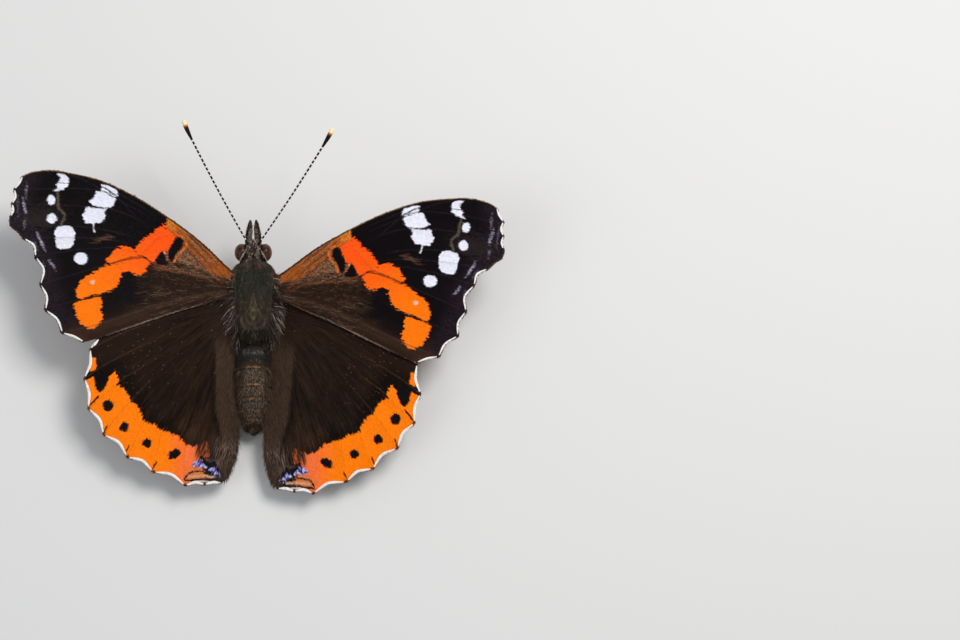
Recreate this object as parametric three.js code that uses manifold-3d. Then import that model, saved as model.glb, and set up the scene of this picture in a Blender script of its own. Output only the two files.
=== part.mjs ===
// A life-size red admiral butterfly, basking with its wings spread flat.
// Units are millimetres, +Z is up, the head looks along +Y and the butterfly's left wings lie along -X.
// The body is drawn along its own axis, from an origin in the middle of the thorax, and is then tilted
// head up and set on its feet.
import * as THREE from 'three';
import { mergeVertices } from 'three/addons/utils/BufferGeometryUtils.js';
import Module from 'manifold-3d';

const wasm = await Module();
wasm.setup();

// Driving dimensions
const WING_LENGTH = 30.5; // forewing, root to apex: every wing outline below is in parts of it
const WING_THICKNESS = 0.5;
const WING_RAISE = THREE.MathUtils.degToRad(4); // how far the wings slope up from root to tip
const WING_DROOP = 1.3; // how far the tip of a wing hangs below that slope
const BODY_TILT = THREE.MathUtils.degToRad(8); // head end up
const BODY_HEIGHT = 6.1; // middle of the thorax above the ground
const EYE_GAP = 0.15; // between an eye and its socket

// Wing roots and sweeps: the right pair is swept a little further back than the left pair
const FOREWING_POSES = {
  left: { side: -1, root: [3.12, 2.47, 1.6], sweep: THREE.MathUtils.degToRad(-0.3) },
  right: { side: 1, root: [3.76, 2.03, 1.6], sweep: THREE.MathUtils.degToRad(-7.7) },
};
const HINDWING_POSES = {
  left: { side: -1, root: [3.06, -0.99, 0.5], sweep: 0 },
  right: { side: 1, root: [3.82, -1.77, 0.5], sweep: THREE.MathUtils.degToRad(-4.3) },
};

// Edges are read counter-clockwise on the right wing, in wing lengths from the root: x outwards, y forwards.
// A margin runs from vein end to vein end and bays in between them.
const FOREWING_EDGES = {
  centre: [0.5, 0.13],
  hindEdge: [[-0.012, -0.06], [0.118, -0.109], [0.252, -0.148], [0.489, -0.229], [0.634, -0.273]],
  margin: [[0.634, -0.273], [0.726, -0.234], [0.798, -0.133], [0.82, -0.022], [0.841, 0.1],
    [0.947, 0.236], [0.944, 0.334], [0.935, 0.398]],
  frontEdge: [[0.935, 0.398], [0.9, 0.457], [0.865, 0.473], [0.817, 0.481], [0.769, 0.482],
    [0.699, 0.471], [0.557, 0.436], [0.407, 0.364], [0.262, 0.27], [0.125, 0.165], [-0.012, 0.03]],
};
const HINDWING_EDGES = {
  centre: [0.29, -0.32],
  hindEdge: [[0.0, -0.07], [-0.01, -0.2], [-0.014, -0.4], [-0.024, -0.53], [-0.018, -0.64],
    [0.005, -0.734], [0.038, -0.778]],
  margin: [[0.038, -0.778], [0.112, -0.785], [0.195, -0.789], [0.335, -0.728], [0.447, -0.664],
    [0.549, -0.566], [0.615, -0.452], [0.632, -0.321], [0.608, -0.19]],
  frontEdge: [[0.608, -0.19], [0.571, -0.149], [0.52, -0.075], [0.394, 0.007], [0.197, 0.052], [0.0, 0.03]],
};
const MARGIN_BAY = 0.09; // depth of a bay in the margin, in parts of its width
const HINDWING_FOLD = 0.05; // how fast the inner edge of the hindwing bends down beside the abdomen
const FOLD_WIDTH = 3.0;

// Body sections along its axis: [y, half width]
const THORAX_SECTIONS = [[-5.7, 1.7], [-5.3, 2.25], [-4.2, 2.65], [-2.6, 2.85], [-0.6, 2.95],
  [1.2, 2.95], [2.8, 2.95], [3.7, 2.75], [4.4, 2.35], [4.9, 1.7]];
const THORAX_DEPTH = 1.06; // height over width
const ABDOMEN_RINGS = [[-6.0, 1.6], [-7.6, 2.05], [-9.3, 2.25], [-11.0, 2.32], [-12.6, 2.28],
  [-14.0, 2.12], [-15.3, 1.85], [-16.5, 1.4], [-17.9, 0.55]];
const RING_GROOVE = 0.12; // how far the hind end of a ring stands over the next one
const RING_END = 0.85; // where a ring ends, in parts of its length
const ABDOMEN_DEPTH = 1.02;
const ABDOMEN_SAG = 0.012; // how fast the tail end bends down
const SAG_START = -6;

// Head
const HEAD = { centre: [0, 6.55, 0.35], half: [1.5, 1.45, 1.45] };
const EYE = { centre: [1.62, 6.2, 0.35], half: [0.88, 1.12, 1.2] };
const PALP = {
  root: [0.58, 7.95, -0.35], tip: [0.42, 10.6, 0.75], rootWidth: 0.48, width: 0.46, tipWidth: 0.12,
};
const FEELER = { root: [0.6, 7.6, 1.8], radius: 0.25, clubRadius: 0.36, clubStart: 0.86 };
const FEELER_ENDS = {
  left: { club: [8.3, 21.2, 4.3], tip: [9.3, 23.5, 4.6] },
  right: { club: [9.4, 20.3, 4.1], tip: [10.65, 22.5, 4.4] },
};
const TONGUE = { centre: [0, 7.2, -1.75], ring: 0.55, radius: 0.27 };

// Legs, from hip to toe, before the body is tilted: [x, y, z] with z from the ground
const LEGS = {
  foreleg: { path: [[0.95, 4.6, 3.6], [1.5, 5.6, 4.15], [1.35, 6.6, 4.5], [1.05, 7.4, 4.6]],
    steps: 8, radii: [0.42, 0.3] },
  midleg: { path: [[1.6, 1.3, 2.95], [3.1, 1.9, 3.8], [4.7, 2.6, 4.2], [6.4, 3.3, 2.4], [7.8, 3.8, 0.6],
    [9.0, 4.3, 0.14], [10.3, 4.9, 0.14]], steps: 18, radii: [0.5, 0.27] },
  hindleg: { path: [[1.5, -2.9, 2.25], [2.8, -3.6, 3.3], [4.0, -4.5, 3.7], [5.4, -6.7, 2.1], [6.6, -8.8, 0.6],
    [7.4, -9.9, 0.14], [8.5, -11.3, 0.14]], steps: 18, radii: [0.5, 0.27] },
};
const LEG_TAPER = 0.75; // share of a leg over which it grows thin

// Colours
const BLACK_BROWN = { color: 0x17110f, roughness: 0.75, metalness: 0 };
const ORANGE_BLACK = { color: 0x6b3212, roughness: 0.75, metalness: 0 };
const BODY_BROWN = { color: 0x3b342a, roughness: 0.9, metalness: 0 };
const EYE_BROWN = { color: 0x5a3526, roughness: 0.2, metalness: 0 };
const LEG_TAN = { color: 0x9a7f5e, roughness: 0.7, metalness: 0 };
const FEELER_BLACK = { color: 0x14110f, roughness: 0.5, metalness: 0 };

// A geometry with shared corners and smooth shading
function weld(geometry) {
  geometry.deleteAttribute('normal');
  geometry.deleteAttribute('uv');
  const welded = mergeVertices(geometry, 1e-5);
  welded.computeVertexNormals();
  return welded;
}

// The same shape on the other side of the body
function mirror(geometry) {
  const mirrored = geometry.clone();
  mirrored.scale(-1, 1, 1);
  const index = mirrored.index;
  for (let i = 0; i < index.count; i += 3) {
    const first = index.getX(i);
    index.setX(i, index.getX(i + 1));
    index.setX(i + 1, first);
  }
  mirrored.computeVertexNormals();
  return mirrored;
}

function onSide(geometry, side) {
  return side > 0 ? geometry : mirror(geometry);
}

function toManifold(geometry) {
  return new wasm.Manifold(new wasm.Mesh({
    numProp: 3,
    vertProperties: new Float32Array(geometry.attributes.position.array),
    triVerts: new Uint32Array(geometry.index.array),
  }));
}

// One solid with another taken out of it
function subtract(geometry, tool) {
  const { vertProperties, triVerts } = toManifold(geometry).subtract(toManifold(tool)).getMesh();
  const result = new THREE.BufferGeometry();
  result.setAttribute('position', new THREE.BufferAttribute(vertProperties, 3));
  result.setIndex(new THREE.BufferAttribute(triVerts, 1));
  result.computeVertexNormals();
  return result;
}

function ellipsoid({ centre, half }, across, down, grow = 0) {
  const geometry = new THREE.SphereGeometry(1, across, down);
  geometry.scale(...half.map((radius) => radius + grow));
  geometry.translate(...centre);
  return weld(geometry);
}

// A round tube along a path whose radius changes on the way, never lower than the ground
function taperedTube(path, radiusAt, sides, steps, ground = -Infinity) {
  const curve = new THREE.CatmullRomCurve3(path.map((point) => new THREE.Vector3(...point)));
  const { normals, binormals } = curve.computeFrenetFrames(steps, false);
  const geometry = new THREE.CylinderGeometry(1, 1, steps, sides, steps);
  const position = geometry.attributes.position;
  for (let i = 0; i < position.count; i++) {
    const step = Math.round(position.getY(i) + steps / 2);
    const radius = radiusAt(step / steps);
    const point = curve.getPointAt(step / steps)
      .addScaledVector(binormals[step], position.getX(i) * radius)
      .addScaledVector(normals[step], position.getZ(i) * radius);
    position.setXYZ(i, point.x, point.y, Math.max(point.z, ground));
  }
  return weld(geometry);
}

// A body of round sections along Y
function bodyOfSections(sections, depth, sagAt) {
  const ends = [[sections[0][0], 0], ...sections, [sections.at(-1)[0], 0]];
  const profile = ends.map(([along, radius]) => new THREE.Vector2(radius, along));
  if (profile[0].y > profile.at(-1).y) profile.reverse();
  const geometry = new THREE.LatheGeometry(profile, 24);
  geometry.scale(1, 1, depth);
  const position = geometry.attributes.position;
  for (let i = 0; i < position.count; i++) {
    position.setZ(i, position.getZ(i) - sagAt(position.getY(i)));
  }
  return weld(geometry);
}

// A margin from vein end to vein end, with a round bay between each two
function margin(ends) {
  const points = [];
  for (let i = 0; i + 1 < ends.length; i++) {
    const [from, to] = [new THREE.Vector2(...ends[i]), new THREE.Vector2(...ends[i + 1])];
    const along = to.clone().sub(from);
    const inwards = new THREE.Vector2(-along.y, along.x).multiplyScalar(2 * MARGIN_BAY);
    const middle = from.clone().add(to).multiplyScalar(0.5).add(inwards);
    points.push(...new THREE.QuadraticBezierCurve(from, middle, to).getPoints(3).slice(0, 3));
  }
  return points;
}

function smoothEdge(ends, steps) {
  const curve = new THREE.SplineCurve(ends.map((end) => new THREE.Vector2(...end)));
  return curve.getSpacedPoints(steps);
}

// How far a point of the wing surface lies above the flat plane of its root
function wingLift(x, y, fold) {
  const reach = Math.hypot(x, y) / WING_LENGTH;
  const inside = Math.max(0, FOLD_WIDTH - x);
  return Math.tan(WING_RAISE) * x - WING_DROOP * reach * reach - fold * inside * inside;
}

// A wing as a thin curved leaf: rings shrink from the edge to the centre on both faces
function wing(edges, fold) {
  const hindEdge = smoothEdge(edges.hindEdge, 12).slice(0, -1);
  const outline = [...hindEdge, ...margin(edges.margin), ...smoothEdge(edges.frontEdge, 16)];
  const columns = outline.length;
  const rings = 4;
  const geometry = new THREE.SphereGeometry(1, columns, 2 * rings + 1);
  const position = geometry.attributes.position;
  const centre = new THREE.Vector2(...edges.centre);
  for (let i = 0; i < position.count; i++) {
    const row = Math.floor(i / (columns + 1));
    const column = i % (columns + 1) % columns;
    const isTop = row <= rings;
    const share = (isTop ? row : 2 * rings + 1 - row) / rings;
    const point = centre.clone().lerp(outline[column], share).multiplyScalar(WING_LENGTH);
    const face = isTop ? WING_THICKNESS / 2 : -WING_THICKNESS / 2;
    position.setXYZ(i, point.x, point.y, wingLift(point.x, point.y, fold) + face);
  }
  return weld(geometry);
}

function named(name, geometry, finish) {
  const mesh = new THREE.Mesh(geometry, new THREE.MeshStandardMaterial(finish));
  mesh.name = name;
  return mesh;
}

function posedWing(name, geometry, { side, root, sweep }, finish) {
  const mesh = named(name, onSide(geometry, side), finish);
  mesh.position.set(side * root[0], root[1], root[2]);
  mesh.rotation.z = side * sweep;
  return mesh;
}

// Thorax and abdomen
function thorax() {
  return named('thorax', bodyOfSections(THORAX_SECTIONS, THORAX_DEPTH, () => 0), BODY_BROWN);
}

function abdomen() {
  const sections = [];
  ABDOMEN_RINGS.forEach(([along, radius], ring) => {
    sections.push([along, radius]);
    const next = ABDOMEN_RINGS[ring + 1];
    if (!next) return;
    const end = along + (next[0] - along) * RING_END;
    sections.push([end, radius + (next[1] - radius) * RING_END + RING_GROOVE]);
  });
  const sagAt = (y) => ABDOMEN_SAG * Math.min(0, y - SAG_START) ** 2;
  return named('abdomen', bodyOfSections(sections, ABDOMEN_DEPTH, sagAt), BODY_BROWN);
}

// Head, with a socket for each eye
function head() {
  let skull = ellipsoid(HEAD, 20, 14);
  const socket = ellipsoid(EYE, 16, 12, EYE_GAP);
  skull = subtract(skull, socket);
  skull = subtract(skull, mirror(socket));
  return named('head', skull, BODY_BROWN);
}

function eye(name, side) {
  return named(`eye_${name}`, onSide(ellipsoid(EYE, 16, 12), side), EYE_BROWN);
}

function palp(name, side) {
  const { root, tip, rootWidth, width, tipWidth } = PALP;
  const radiusAt = (t) => rootWidth + (width - rootWidth) * t + (tipWidth - width) * t ** 3;
  const middle = root.map((start, axis) => (start + tip[axis]) / 2);
  const geometry = taperedTube([root, middle, tip], radiusAt, 8, 7);
  return named(`palp_${name}`, onSide(geometry, side), BODY_BROWN);
}

function feeler(name, side) {
  const swell = (t) => {
    const along = Math.max(0, (t - FEELER.clubStart) / (1 - FEELER.clubStart));
    return FEELER.radius + (FEELER.clubRadius - FEELER.radius) * Math.sin(Math.PI * along);
  };
  const geometry = taperedTube([FEELER.root, FEELER_ENDS[name].club, FEELER_ENDS[name].tip], swell, 8, 22);
  return named(`antenna_${name}`, onSide(geometry, side), FEELER_BLACK);
}

// The coiled tongue, as one ring under the palps
function tongue() {
  const ring = new THREE.TorusGeometry(TONGUE.ring, TONGUE.radius, 8, 14);
  ring.rotateY(Math.PI / 2);
  ring.translate(...TONGUE.centre);
  return named('proboscis', weld(ring), FEELER_BLACK);
}

function leg(kind, name, side) {
  const { path, steps, radii } = LEGS[kind];
  const radiusAt = (t) => radii[0] + (radii[1] - radii[0]) * Math.min(1, t / LEG_TAPER);
  const geometry = taperedTube(path, radiusAt, 8, steps, 0);
  return named(`${kind}_${name}`, onSide(geometry, side), LEG_TAN);
}

const forewingShape = wing(FOREWING_EDGES, 0);
const hindwingShape = wing(HINDWING_EDGES, HINDWING_FOLD);

const body = new THREE.Group();
body.rotation.x = BODY_TILT;
body.position.z = BODY_HEIGHT;
body.add(thorax(), abdomen(), head(), tongue());

const butterfly = new THREE.Group();
butterfly.add(body);
for (const [name, side] of [['left', -1], ['right', 1]]) {
  body.add(eye(name, side), palp(name, side), feeler(name, side));
  body.add(posedWing(`forewing_${name}`, forewingShape, FOREWING_POSES[name], BLACK_BROWN));
  body.add(posedWing(`hindwing_${name}`, hindwingShape, HINDWING_POSES[name], ORANGE_BLACK));
  for (const kind of Object.keys(LEGS)) butterfly.add(leg(kind, name, side));
}

// The origin goes to the middle of the base
butterfly.updateMatrixWorld(true);
const extent = new THREE.Box3().setFromObject(butterfly, true);
const middle = extent.getCenter(new THREE.Vector3());
butterfly.position.set(-middle.x, -middle.y, -extent.min.z);

export default butterfly;
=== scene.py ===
"""Looks of the red admiral: scaled wings, a hairy body, eyes, ringed feelers and legs.

Lengths are in millimetres until a mesh is made. The body frame has its origin in the middle of
the thorax, x to the animal's right, y along the body to the head and z up through its back.
"""
import math

import bpy
import numpy as np
from mathutils import Matrix, Vector


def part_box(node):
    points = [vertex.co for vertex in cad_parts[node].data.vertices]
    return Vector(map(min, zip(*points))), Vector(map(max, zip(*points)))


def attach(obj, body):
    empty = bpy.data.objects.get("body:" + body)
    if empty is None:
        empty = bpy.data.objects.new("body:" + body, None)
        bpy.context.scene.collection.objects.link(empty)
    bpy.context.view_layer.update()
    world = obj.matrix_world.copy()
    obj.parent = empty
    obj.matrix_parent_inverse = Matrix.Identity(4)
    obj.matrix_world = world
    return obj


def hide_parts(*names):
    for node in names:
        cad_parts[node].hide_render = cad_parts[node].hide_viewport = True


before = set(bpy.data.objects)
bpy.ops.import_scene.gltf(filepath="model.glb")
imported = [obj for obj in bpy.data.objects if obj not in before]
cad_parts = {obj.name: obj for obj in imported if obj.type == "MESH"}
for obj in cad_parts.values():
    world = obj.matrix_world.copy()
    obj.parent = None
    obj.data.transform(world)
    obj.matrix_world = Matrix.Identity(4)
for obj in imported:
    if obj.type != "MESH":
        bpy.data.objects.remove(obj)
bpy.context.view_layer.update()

# One seeded generator for everything, so the order of its draws decides every hair and scale.
random = np.random.default_rng(11)

MM = 0.001
HANDS = (("left", -1), ("right", 1))
# The body's slope, its height over the floor, and the place of the CAD eyes from its origin.
TILT = math.radians(8.0)
BODY_HEIGHT = 6.1
EYE_AHEAD = 6.2
EYE_UP = 0.35
# The wings: their length and slope, how far they droop and fold, half the membrane, the veins.
WING_LENGTH = 30.5
WING_RAISE = math.tan(math.radians(4.0))
WING_DROOP = 1.3
FOLD_WIDTH = 3.0
SKIN_HALF = 0.05
VEIN_HEIGHT = 0.05
VEIN_WIDTH = 0.13
# Points at a time, so that the tables of distances stay small.
BATCH = 8000
# Points of a wing's margin from one vein to the next, of the whole margin and of the other edges.
BAY_POINTS = 24
MARGIN_POINTS = 400
EDGE_POINTS = 200
# Size of one hair or scale in the bake map.
PATCH = 0.003


def box_centre(node):
    """Middle of a CAD node's box, in millimetres."""
    low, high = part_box(node)
    return np.array([(low[i] + high[i]) / 2 for i in range(3)]) / MM


EYES = (box_centre("eye_left") + box_centre("eye_right")) / 2
ORIGIN = np.array([
    EYES[0], EYES[1] - EYE_AHEAD * math.cos(TILT) + EYE_UP * math.sin(TILT), BODY_HEIGHT])
GROUND = np.array([ORIGIN[0], ORIGIN[1], 0.0])


def to_world(points):
    """Points of the tilted body frame moved into the row frame."""
    c, s = math.cos(TILT), math.sin(TILT)
    x, y, z = points[..., 0], points[..., 1], points[..., 2]
    return np.stack([x, y * c - z * s, y * s + z * c], axis=-1) + ORIGIN


# Lines, areas and noise.

def curve(points, closed=False, steps=6):
    """A smooth line through the points."""
    p = np.asarray(points, float)
    if closed:
        p = np.concatenate([p[-1:], p, p[:2]])
    else:
        p = np.concatenate([[2 * p[0] - p[1]], p, [2 * p[-1] - p[-2]]])
    a, b, c, d = p[:-3, None], p[1:-2, None], p[2:-1, None], p[3:, None]
    t = np.linspace(0, 1, steps, endpoint=False)[None, :, None]
    line = b + 0.5 * t * (c - a + t * (2 * a - 5 * b + 4 * c - d + t * (3 * (b - c) + d - a)))
    line = line.reshape(-1, p.shape[1])
    return line if closed else np.concatenate([line, p[-2:-1]])


def gaps(line):
    """The lengths between the points of a line."""
    return np.linalg.norm(np.diff(line, axis=0), axis=1)


def run(line):
    """How far along a line each of its points lies."""
    return np.concatenate([[0], np.cumsum(gaps(line))])


def spaced(line, count):
    """The line as evenly spaced points."""
    s = run(line) / gaps(line).sum()
    t = np.linspace(0, 1, count)
    return np.stack([np.interp(t, s, line[:, k]) for k in range(line.shape[1])], axis=1)


def at(line, t):
    """Points of an evenly spaced line at t, from 0 to 1."""
    s = np.linspace(0, 1, len(line))
    return np.stack([np.interp(t, s, line[:, k]) for k in range(line.shape[1])], axis=-1)


def away(line, points, limit=3.0):
    """How far each flat point is from the line, as far as the limit."""
    found = np.full(len(points), limit)
    low, high = line.min(0) - limit, line.max(0) + limit
    near = np.nonzero(((points > low) & (points < high)).all(1))[0]
    a, ab = line[:-1], np.diff(line, axis=0)
    length = np.maximum((ab ** 2).sum(1), 1e-9)
    for part in np.array_split(near, len(near) // BATCH + 1):
        gap = points[part, None] - a
        t = np.clip((gap * ab).sum(2) / length, 0, 1)
        found[part] = np.minimum(np.sqrt(((gap - t[..., None] * ab) ** 2).sum(2)).min(1), limit)
    return found


def inside(loop, points):
    """Whether each flat point lies inside a closed line."""
    (xa, ya), (xb, yb) = loop[:-1].T, loop[1:].T
    rise = np.where(yb == ya, 1e-9, yb - ya)
    x, y = points[:, :1], points[:, 1:]
    crossed = ((ya > y) != (yb > y)) & (x < (xb - xa) * (y - ya) / rise + xa)
    return crossed.sum(1) % 2 == 1


def within(outline, points):
    """How deep each flat point lies inside a smooth outline, negative outside."""
    loop = curve(outline, closed=True)
    loop = np.concatenate([loop, loop[:1]])
    depth = -away(loop, points)
    low, high = loop.min(0), loop.max(0)
    near = np.nonzero(((points > low) & (points < high)).all(1))[0]
    for part in np.array_split(near, len(near) // BATCH + 1):
        depth[part] *= np.where(inside(loop, points[part]), -1, 1)
    return depth


def straight(outline, points):
    """How deep each flat point lies inside an outline with straight sides, negative outside."""
    loop = np.asarray(outline + outline[:1], float)
    depth = -away(loop, points)
    return np.where(inside(loop, points), -depth, depth)


def spot(points, centre, half, turn=0.0):
    """How deep each flat point lies inside an oval, negative outside."""
    c, s = math.cos(math.radians(turn)), math.sin(math.radians(turn))
    x, y = points[:, 0] - centre[0], points[:, 1] - centre[1]
    size = np.hypot((x * c + y * s) / half[0], (y * c - x * s) / half[1])
    return (1 - size) * min(half)


LATTICE_SIZE = 256
LATTICE = random.random((LATTICE_SIZE, LATTICE_SIZE)) * 2 - 1


def noise(x, y, seed):
    """Smooth noise from -1 to 1."""
    x, y = x + 31.7 * seed, y + 17.3 * seed
    i, j = np.floor(x).astype(int), np.floor(y).astype(int)
    fx, fy = x - i, y - j
    fx, fy = fx * fx * (3 - 2 * fx), fy * fy * (3 - 2 * fy)
    i, j, k, m = (n % LATTICE_SIZE for n in (i, j, i + 1, j + 1))
    near = LATTICE[i, j] * (1 - fx) + LATTICE[k, j] * fx
    far = LATTICE[i, m] * (1 - fx) + LATTICE[k, m] * fx
    return near * (1 - fy) + far * fy


def ramp(value, start, end):
    """0 at start, 1 at end, smooth between."""
    t = np.clip((value - start) / (end - start), 0, 1)
    return t * t * (3 - 2 * t)


def rgb(r, g, b):
    """A screen colour, 0 to 255, as linear light."""
    c = np.array([r, g, b], float) / 255
    return np.where(c < 0.04045, c / 12.92, ((c + 0.055) / 1.055) ** 2.4)


def plain(colour, count):
    """One screen colour as the paint of many points."""
    return np.tile(rgb(*colour), (count, 1))


def laid(under, colour, amount):
    """Paint laid over what is there: a screen colour if it is a tuple, or else linear light."""
    over = rgb(*colour) if isinstance(colour, tuple) else colour
    return under + (over - under) * np.clip(amount, 0, 1)[:, None]


# Materials.

def dial(node, values):
    """Values set on the inputs of a shader node."""
    for name, value in values.items():
        node.inputs[name].default_value = value
    return node


def finish_material(name, rough, shine, grain, grain_depth, bump, bump_depth, coat=0.0):
    """Painted colour with a fine grain in it and a bumpy surface. Grain and bump are sizes in mm."""
    material = bpy.data.materials.new(name)
    material.use_nodes = True
    nodes, link = material.node_tree.nodes, material.node_tree.links.new
    shader = dial(nodes["Principled BSDF"], {
        "Roughness": rough, "Specular IOR Level": shine, "Coat Weight": coat, "Coat Roughness": 0.12})
    paint = nodes.new("ShaderNodeAttribute")
    paint.attribute_name = "paint"
    place = nodes.new("ShaderNodeTexCoord")
    size = dial(nodes.new("ShaderNodeMapping"), {"Scale": (1 / MM, 1 / MM, 1 / MM)})
    link(place.outputs["Object"], size.inputs["Vector"])
    specks = dial(nodes.new("ShaderNodeTexNoise"), {"Scale": 1 / grain, "Detail": 3.0})
    link(size.outputs["Vector"], specks.inputs["Vector"])
    strength = dial(nodes.new("ShaderNodeMapRange"), {
        "From Min": 0.25, "From Max": 0.75, "To Min": 1 - grain_depth, "To Max": 1 + grain_depth})
    link(specks.outputs["Fac"], strength.inputs["Value"])
    mixed = nodes.new("ShaderNodeVectorMath")
    mixed.operation = "SCALE"
    link(paint.outputs["Color"], mixed.inputs[0])
    link(strength.outputs["Result"], mixed.inputs["Scale"])
    link(mixed.outputs["Vector"], shader.inputs["Base Color"])
    relief = dial(nodes.new("ShaderNodeTexNoise"), {"Scale": 1 / bump, "Detail": 2.0})
    link(size.outputs["Vector"], relief.inputs["Vector"])
    lift = dial(nodes.new("ShaderNodeBump"), {"Distance": bump_depth * MM, "Strength": 0.6})
    link(relief.outputs["Fac"], lift.inputs["Height"])
    link(lift.outputs["Normal"], shader.inputs["Normal"])
    return material


# Each has its roughness and shine, then the size and depth of its grain and of its bumps.
WING_SKIN = finish_material("wing_membrane", 0.6, 0.05, 0.5, 0.12, 0.15, 0.02)
WING_SCALES = finish_material("wing_scales", 0.5, 0.05, 0.35, 0.08, 0.06, 0.01)
FRINGE = finish_material("fringe_scales", 0.6, 0.2, 0.3, 0.12, 0.05, 0.01)
BODY_SKIN = finish_material("body_skin", 0.6, 0.06, 0.25, 0.2, 0.08, 0.03)
HAIR = finish_material("hair", 0.5, 0.06, 0.3, 0.15, 0.05, 0.01)
EYE = finish_material("eye", 0.32, 0.14, 0.12, 0.35, 0.045, 0.012, coat=0.08)
FEELER = finish_material("feeler", 0.5, 0.1, 0.15, 0.1, 0.05, 0.01)
LEG = finish_material("leg", 0.5, 0.2, 0.2, 0.2, 0.06, 0.02)


# Making pieces.

def piece(name, points, faces, paint, material, replaces=(), unwrap=None, smooth=True):
    """A shown mesh on the root body. Points are in the row frame, in millimetres."""
    mesh = bpy.data.meshes.new(name)
    mesh.vertices.add(len(points))
    mesh.vertices.foreach_set("co", (points * MM).astype(np.float32).ravel())
    mesh.loops.add(faces.size)
    mesh.loops.foreach_set("vertex_index", faces.astype(np.int32).ravel())
    mesh.polygons.add(len(faces))
    starts = np.arange(0, faces.size, faces.shape[1], dtype=np.int32)
    mesh.polygons.foreach_set("loop_start", starts)
    mesh.polygons.foreach_set("use_smooth", np.full(len(faces), smooth))
    mesh.update(calc_edges=True)
    layer = mesh.color_attributes.new("paint", "FLOAT_COLOR", "POINT")
    rgba = np.concatenate([paint, np.ones((len(paint), 1))], axis=1)
    layer.data.foreach_set("color", rgba.astype(np.float32).ravel())
    if unwrap is not None:
        uv = mesh.uv_layers.new(name="OFBake")
        uv.data.foreach_set("uv", unwrap[faces.ravel()].astype(np.float32).ravel())
    mesh.materials.append(material)
    made = bpy.data.objects.new(name, mesh)
    bpy.context.scene.collection.objects.link(made)
    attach(made, "root")
    if replaces:
        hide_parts(*replaces)


def unit(v):
    """Vectors at length one."""
    return v / np.maximum(np.linalg.norm(v, axis=-1, keepdims=True), 1e-9)


def grid_faces(rows, columns, wrap=False):
    """Quads of a grid of points, closed across its columns if asked."""
    i = np.arange(rows - 1)[:, None] * columns
    j = np.arange(columns if wrap else columns - 1)[None]
    k = (j + 1) % columns
    quads = [i + j, i + k, i + columns + k, i + columns + j]
    return np.stack(np.broadcast_arrays(*quads), axis=-1).reshape(-1, 4)


def tufts(name, roots, along, up, length, width, bend, near, far, unwrap, material, steps=3):
    """Thin tapering tufts as one mesh, each a flat blade that bends from its root to its tip."""
    count = len(roots)
    s = np.linspace(0, 1, steps + 1)
    along, across = unit(along), unit(np.cross(along, up))
    spine = roots[:, None] + along[:, None] * (length[:, None] * s)[..., None]
    spine = spine + bend[:, None] * (s ** 2)[None, :, None]
    half = width[:, None] / 2 * (1 - 0.85 * s ** 1.5)
    sides = np.array([-1.0, 1.0])
    points = spine[:, :, None] + (across[:, None] * half[..., None])[:, :, None] * sides[:, None]
    quad = np.arange(steps)[:, None] * 2 + np.array([0, 1, 3, 2])
    faces = np.arange(count)[:, None, None] * (2 * steps + 2) + quad
    paint = near[:, None] + (far - near)[:, None] * s[None, :, None]
    paint = np.repeat(paint[:, :, None], 2, axis=2)
    patch = np.stack(np.broadcast_arrays(sides * PATCH / 2, ((s - 0.5) * PATCH)[:, None]), axis=-1)
    uv = unwrap[:, None, None] + patch
    piece(name, points.reshape(-1, 3), faces.reshape(-1, 4), paint.reshape(-1, 3), material,
          unwrap=uv.reshape(-1, 2))


# Wings.

def scaled(points):
    """Wing lengths to millimetres."""
    return np.asarray(points, float) * WING_LENGTH


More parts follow.
